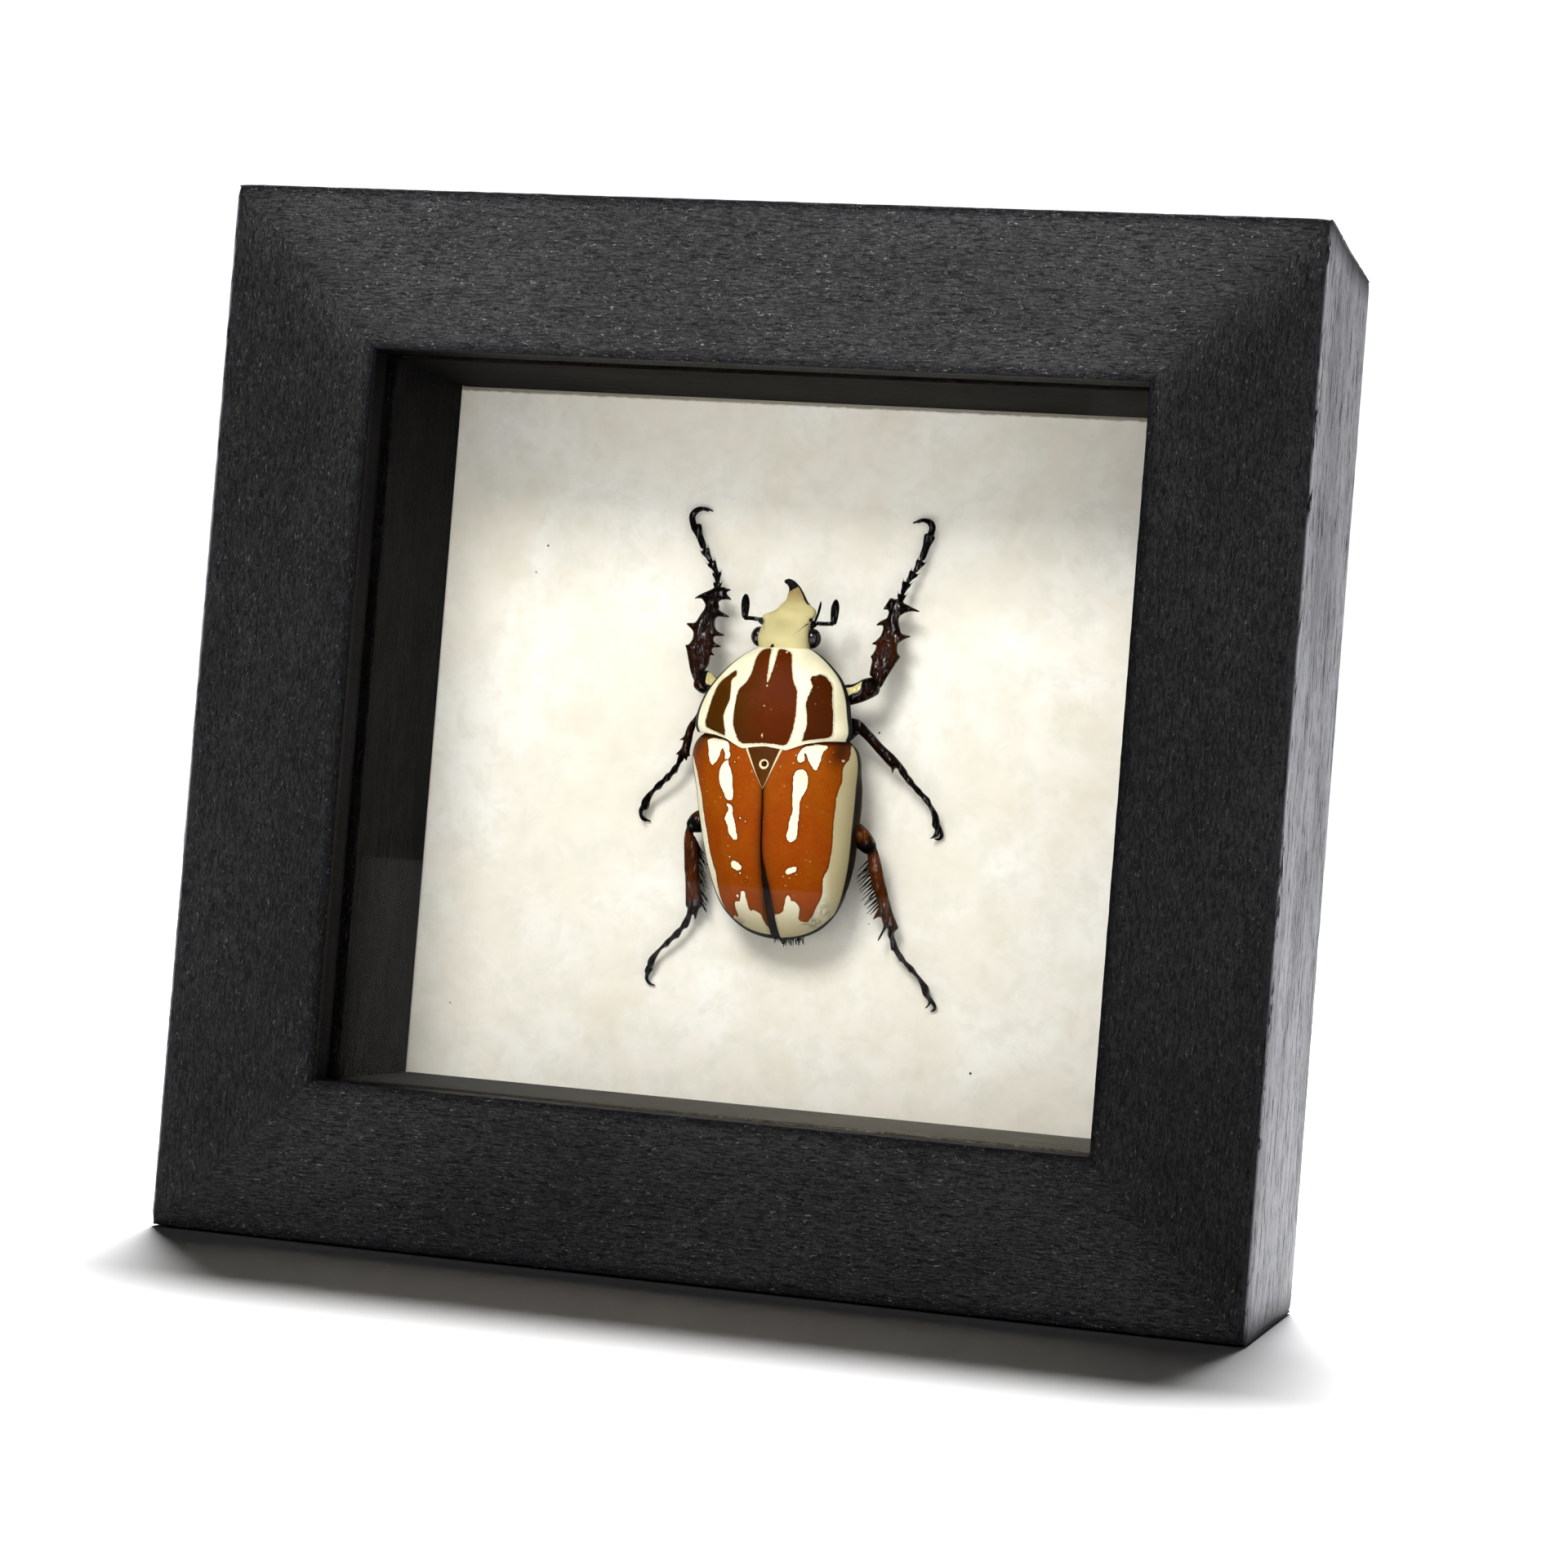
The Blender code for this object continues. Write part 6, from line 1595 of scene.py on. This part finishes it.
# Feelers.
feelerForm = {
    "left": {"stalk": ((-3.0, 26.5, 8.7), (-4.6, 27.2, 8.3), (-6.2, 27.4, 7.9), (-7.3, 27.4, 7.6)),
             "club": ((-7.3, 27.3, 7.6), (-7.4, 31.3, 7.4))},
    "right": {"stalk": ((3.2, 26.3, 8.7), (4.7, 27.0, 8.2), (6.1, 27.0, 7.8), (7.4, 27.1, 7.6)),
              "club": ((7.4, 26.9, 7.6), (7.55, 31.0, 7.4))},
    "palp": ((4.0, 26.6, 7.6, 0.26, 1), (4.6, 28.2, 7.4, 0.2, 1), (4.9, 29.6, 7.3, 0.22, 1),
             (5.0, 30.7, 7.2, 0.1, 1)),
    "beads": 6,
    # sideways place and height of the club's three leaves
    "leaves": ((-0.17, 0.05), (0.0, 0.22), (0.17, 0.05)),
}


# A thick first joint, a run of beads and a club of three leaves lying together.
def feelers():
    store = {"points": [], "faces": [], "tone": []}
    for side in ("left", "right"):
        stalk = np.array(feelerForm[side]["stalk"], float)
        half = stalk[0] * 0.5 + stalk[1] * 0.5
        limb(store, [(*stalk[0], 0.45, 1), (*half, 0.62, 1), (*stalk[1], 0.5, 1)], 14, 16)
        path = smoothTable(stalk[1:], 60, (0, 1, 2))
        beads = feelerForm["beads"]
        for k in range(beads):
            a, b = path[int(k * 59 / beads)], path[int((k + 1) * 59 / beads)]
            limb(store, [(*a, 0.28, 1), (*(a + b) / 2, 0.36, 1), (*(b + (b - a) * 0.1), 0.3, 1)], 12, 10)
        low, high = (np.array(p, float) for p in feelerForm[side]["club"])
        for dx, dh in feelerForm["leaves"]:
            rows = [(*(low + (dx, 0, dh)), 0.24, 1.5),
                    (*(low * 0.7 + high * 0.3 + (dx * 1.3, 0, dh)), 0.4, 1.3),
                    (*(low * 0.3 + high * 0.7 + (dx * 1.4, 0, dh)), 0.42, 1.3),
                    (*(high + (dx * 0.6, 0, dh)), 0.18, 1.3)]
            limb(store, rows, 14, 24)
    limb(store, feelerForm["palp"], 10, 24)
    return beetlePiece("feelers", store["points"], store["faces"], legMaterial, {"tone": store["tone"]})


feelerPiece = feelers()


# Bristles: tapered hairs set along a line by Geometry Nodes.
bristleInputs = (("Geometry", "Geometry"), ("Count", "Int"), ("Length", "Float"), ("Thickness", "Float"),
                 ("Lean", "Vector"), ("Spread", "Float"), ("Seed", "Int"), ("Material", "Material"))


def bristleTree():
    tree = bpy.data.node_groups.new("bristles", "GeometryNodeTree")
    for label, kind in bristleInputs:
        tree.interface.new_socket(label, in_out="INPUT", socket_type="NodeSocket" + kind)
    tree.interface.new_socket("Geometry", in_out="OUTPUT", socket_type="NodeSocketGeometry")
    given = tree.nodes.new("NodeGroupInput").outputs
    end = tree.nodes.new("NodeGroupOutput")

    def put(kind, inputs, output=0, **settings):
        return putNode(tree, kind, inputs, **settings).outputs[output]

    curve = put("GeometryNodeMeshToCurve", {"Mesh": given["Geometry"]})
    spaced = put("GeometryNodeResampleCurve", {"Curve": curve, "Count": given["Count"]})
    hair = put("GeometryNodeMeshCone", {"Vertices": 5, "Side Segments": 4, "Radius Top": 0.00005,
                                        "Radius Bottom": given["Thickness"], "Depth": given["Length"]})
    wander = put("FunctionNodeRandomValue",
                 {0: (-1.0, -1.0, -1.0), 1: (1.0, 1.0, 1.0), "Seed": given["Seed"]}, data_type="FLOAT_VECTOR")
    swing = put("ShaderNodeVectorMath", {0: wander, "Scale": given["Spread"]}, operation="SCALE")
    aim = put("ShaderNodeVectorMath", {0: given["Lean"], 1: swing}, operation="ADD")
    turn = put("FunctionNodeAlignRotationToVector", {"Vector": aim}, axis="Z")
    size = put("FunctionNodeRandomValue", {2: 0.65, 3: 1.1, "Seed": given["Seed"]}, 1, data_type="FLOAT")
    even = put("ShaderNodeCombineXYZ", {0: 1.0, 1: 1.0, 2: size})
    placed = put("GeometryNodeInstanceOnPoints", {"Points": spaced, "Instance": hair, "Rotation": turn,
                                                  "Scale": even})
    real = put("GeometryNodeRealizeInstances", {0: placed})
    done = put("GeometryNodeSetMaterial", {"Geometry": real, "Material": given["Material"]})
    tree.links.new(done, end.inputs[0])
    return tree


bristleNodes = bristleTree()
bristleForm = {
    # line in beetle millimetres, count, length and thickness in millimetres, lean, spread, seed
    "hind_left": (((-14.3, -8.0, 4.6), (-13.7, -10.4, 4.2), (-13.5, -14.0, 3.7), (-13.1, -18.3, 3.1)),
                  17, 3.1, 0.16, (0.56, -0.8, 0.12), 0.1, 3),
    "hind_left_under": (((-13.9, -9.4, 4.0), (-13.6, -14.0, 3.3), (-13.2, -18.4, 2.8)),
                        12, 2.3, 0.13, (0.68, -0.68, -0.1), 0.18, 4),
    "hind_right": (((15.1, -10.0, 5.2), (15.4, -12.4, 4.8), (16.1, -14.9, 4.3), (16.8, -17.3, 3.8)),
                   14, 2.9, 0.16, (-0.66, -0.72, 0.12), 0.1, 5),
    "hind_right_under": (((15.2, -10.6, 4.8), (16.1, -14.6, 4.0), (16.8, -17.0, 3.5)),
                         10, 2.2, 0.13, (-0.74, -0.6, -0.1), 0.18, 6),
    "tail": (((0.6, -23.0, 6.3), (2.2, -23.4, 6.4), (5.0, -22.9, 6.2)),
             24, 1.3, 0.09, (0.1, -1.0, 0.05), 0.4, 7),
    "tail_under": (((1.0, -22.9, 5.2), (2.8, -23.2, 5.2), (5.2, -22.7, 5.1)),
                   18, 1.4, 0.09, (0.1, -1.0, -0.2), 0.4, 8),
}


def bristlePiece(name, line, count, length, thickness, lean, spread, seed):
    points = toFrame(line)
    mesh = bpy.data.meshes.new(name)
    mesh.from_pydata([tuple(p) for p in points], [(k, k + 1) for k in range(len(points) - 1)], [])
    piece = addObject(name, mesh)
    step = piece.modifiers.new("bristles", "NODES")
    step.node_group = bristleNodes
    direction = toFrame([lean])[0] - toFrame([(0.0, 0.0, 0.0)])[0]
    direction = direction / np.linalg.norm(direction)
    values = {"Count": count, "Length": length * mm, "Thickness": thickness * mm, "Spread": spread,
              "Lean": [float(v) for v in direction], "Seed": seed, "Material": legMaterial}
    for item in bristleNodes.interface.items_tree:
        if item.in_out == "INPUT" and item.name in values:
            step[item.identifier] = values[item.name]
    ready = piece.evaluated_get(bpy.context.evaluated_depsgraph_get())
    made = bpy.data.meshes.new_from_object(ready)
    piece.modifiers.clear()
    piece.data = made
    return piece


bristlePieces = [bristlePiece("bristles_" + name, *values) for name, values in bristleForm.items()]
print("bristles done")

bodyPieces = [bellyPiece, shieldPiece, platePiece, headPiece, eyePiece, feelerPiece]
for piece in wingPieces + bodyPieces + legPieces + bristlePieces:
    keep(piece, "beetle")


# Floor, light and camera.
studio = {
    "sky": (0.975, 0.988, 1.0, 1), "skyFront": 0.014, "skyBack": 0.45, "skyFrom": 0.74, "skyTo": 0.885,
    "backdrop": 1.06,
    "floor": (0.93, 0.93, 0.935, 1),
    "sun": ((-0.10, 0.42, 0.89), 7.6, 18.0),   # direction it comes from, strength, softness in degrees
    # place, target, size and power of the soft lamps, which leave the floor alone
    "lamps": {"key": ((-0.13, -0.86, 0.66), (0.0, 0.0, 0.08), 0.34, 8.6),
              "fill": ((0.60, -1.15, 0.12), (0.0, 0.0, 0.08), 1.9, 11.6)},
    "camera": (0.15327, -0.55945, 0.06306), "lens": 84.343,
    "right": (0.9632, 0.25644, 0.0805), "up": (-0.07167, -0.04361, 0.99647),
    "back": (0.25905, -0.96557, -0.02362),
}


def floorSheet():
    made, tree, shader = newMaterial("pale_floor", Roughness=0.8, Specular_IOR_Level=0.2)
    tone = noiseNode(tree, place(tree), 6.0, 3.0)
    shaded = tuple(c * 0.985 for c in studio["floor"][:3]) + (1,)
    wire(tree, mixColour(tree, tone, studio["floor"], shaded), shader.inputs["Base Color"])
    bm = bmesh.new()
    bmesh.ops.create_circle(bm, cap_ends=True, segments=96, radius=12.0)
    mesh = bpy.data.meshes.new("floor")
    bm.to_mesh(mesh)
    bm.free()
    mesh.materials.append(made)
    floor = addObject("floor", mesh)
    floor.location.z = frameLow.z - 0.0002
    return floor


# A sky that lights from behind only and is white to the camera, a soft sun from above and behind,
# and two soft lamps in front.
def lightAndCamera(floor):
    world = bpy.data.worlds.new("studio")
    bpy.context.scene.world = world
    world.use_nodes = True
    tree = world.node_tree
    sky = tree.nodes["Background"]
    sky.inputs[0].default_value = studio["sky"]
    around = putNode(tree, "ShaderNodeTexCoord").outputs["Generated"]
    facing = putNode(tree, "ShaderNodeSeparateXYZ", {0: around}).outputs[1]
    glow = rangeNode(tree, facing, *(studio[key] for key in ("skyFrom", "skyTo", "skyFront", "skyBack")))
    seen = putNode(tree, "ShaderNodeLightPath").outputs["Is Camera Ray"]
    wire(tree, rangeNode(tree, seen, 0.0, 1.0, glow, studio["backdrop"], False), sky.inputs[1])
    lit = bpy.data.collections.new("lamp_reach")
    lit.objects.link(floor)
    lit.collection_objects[0].light_linking.link_state = "EXCLUDE"
    for name, (spot, target, size, power) in studio["lamps"].items():
        lamp = bpy.data.lights.new(name, "AREA")
        lamp.shape = "SQUARE"
        lamp.size = size
        lamp.energy = power
        item = addObject(name, lamp)
        item.location = spot
        item.rotation_euler = (Vector(target) - Vector(spot)).to_track_quat("-Z", "Y").to_euler()
        item.light_linking.receiver_collection = lit
    source, strength, softness = studio["sun"]
    sun = bpy.data.lights.new("sun", "SUN")
    sun.energy = strength
    sun.angle = math.radians(softness)
    addObject("sun", sun).rotation_euler = Vector(source).to_track_quat("Z", "Y").to_euler()
    data = bpy.data.cameras.new("camera")
    data.lens = studio["lens"]
    data.sensor_width = 36.0
    data.clip_start = 0.01
    camera = addObject("camera", data)
    axes = [studio[k] for k in ("right", "up", "back")] + [studio["camera"]]
    camera.matrix_world = Matrix([[axis[k] for axis in axes] for k in range(3)] + [[0, 0, 0, 1]])
    bpy.context.scene.camera = camera
    bpy.context.scene.view_settings.view_transform = "Standard"


lightAndCamera(floorSheet())
print("floor, light and camera done")
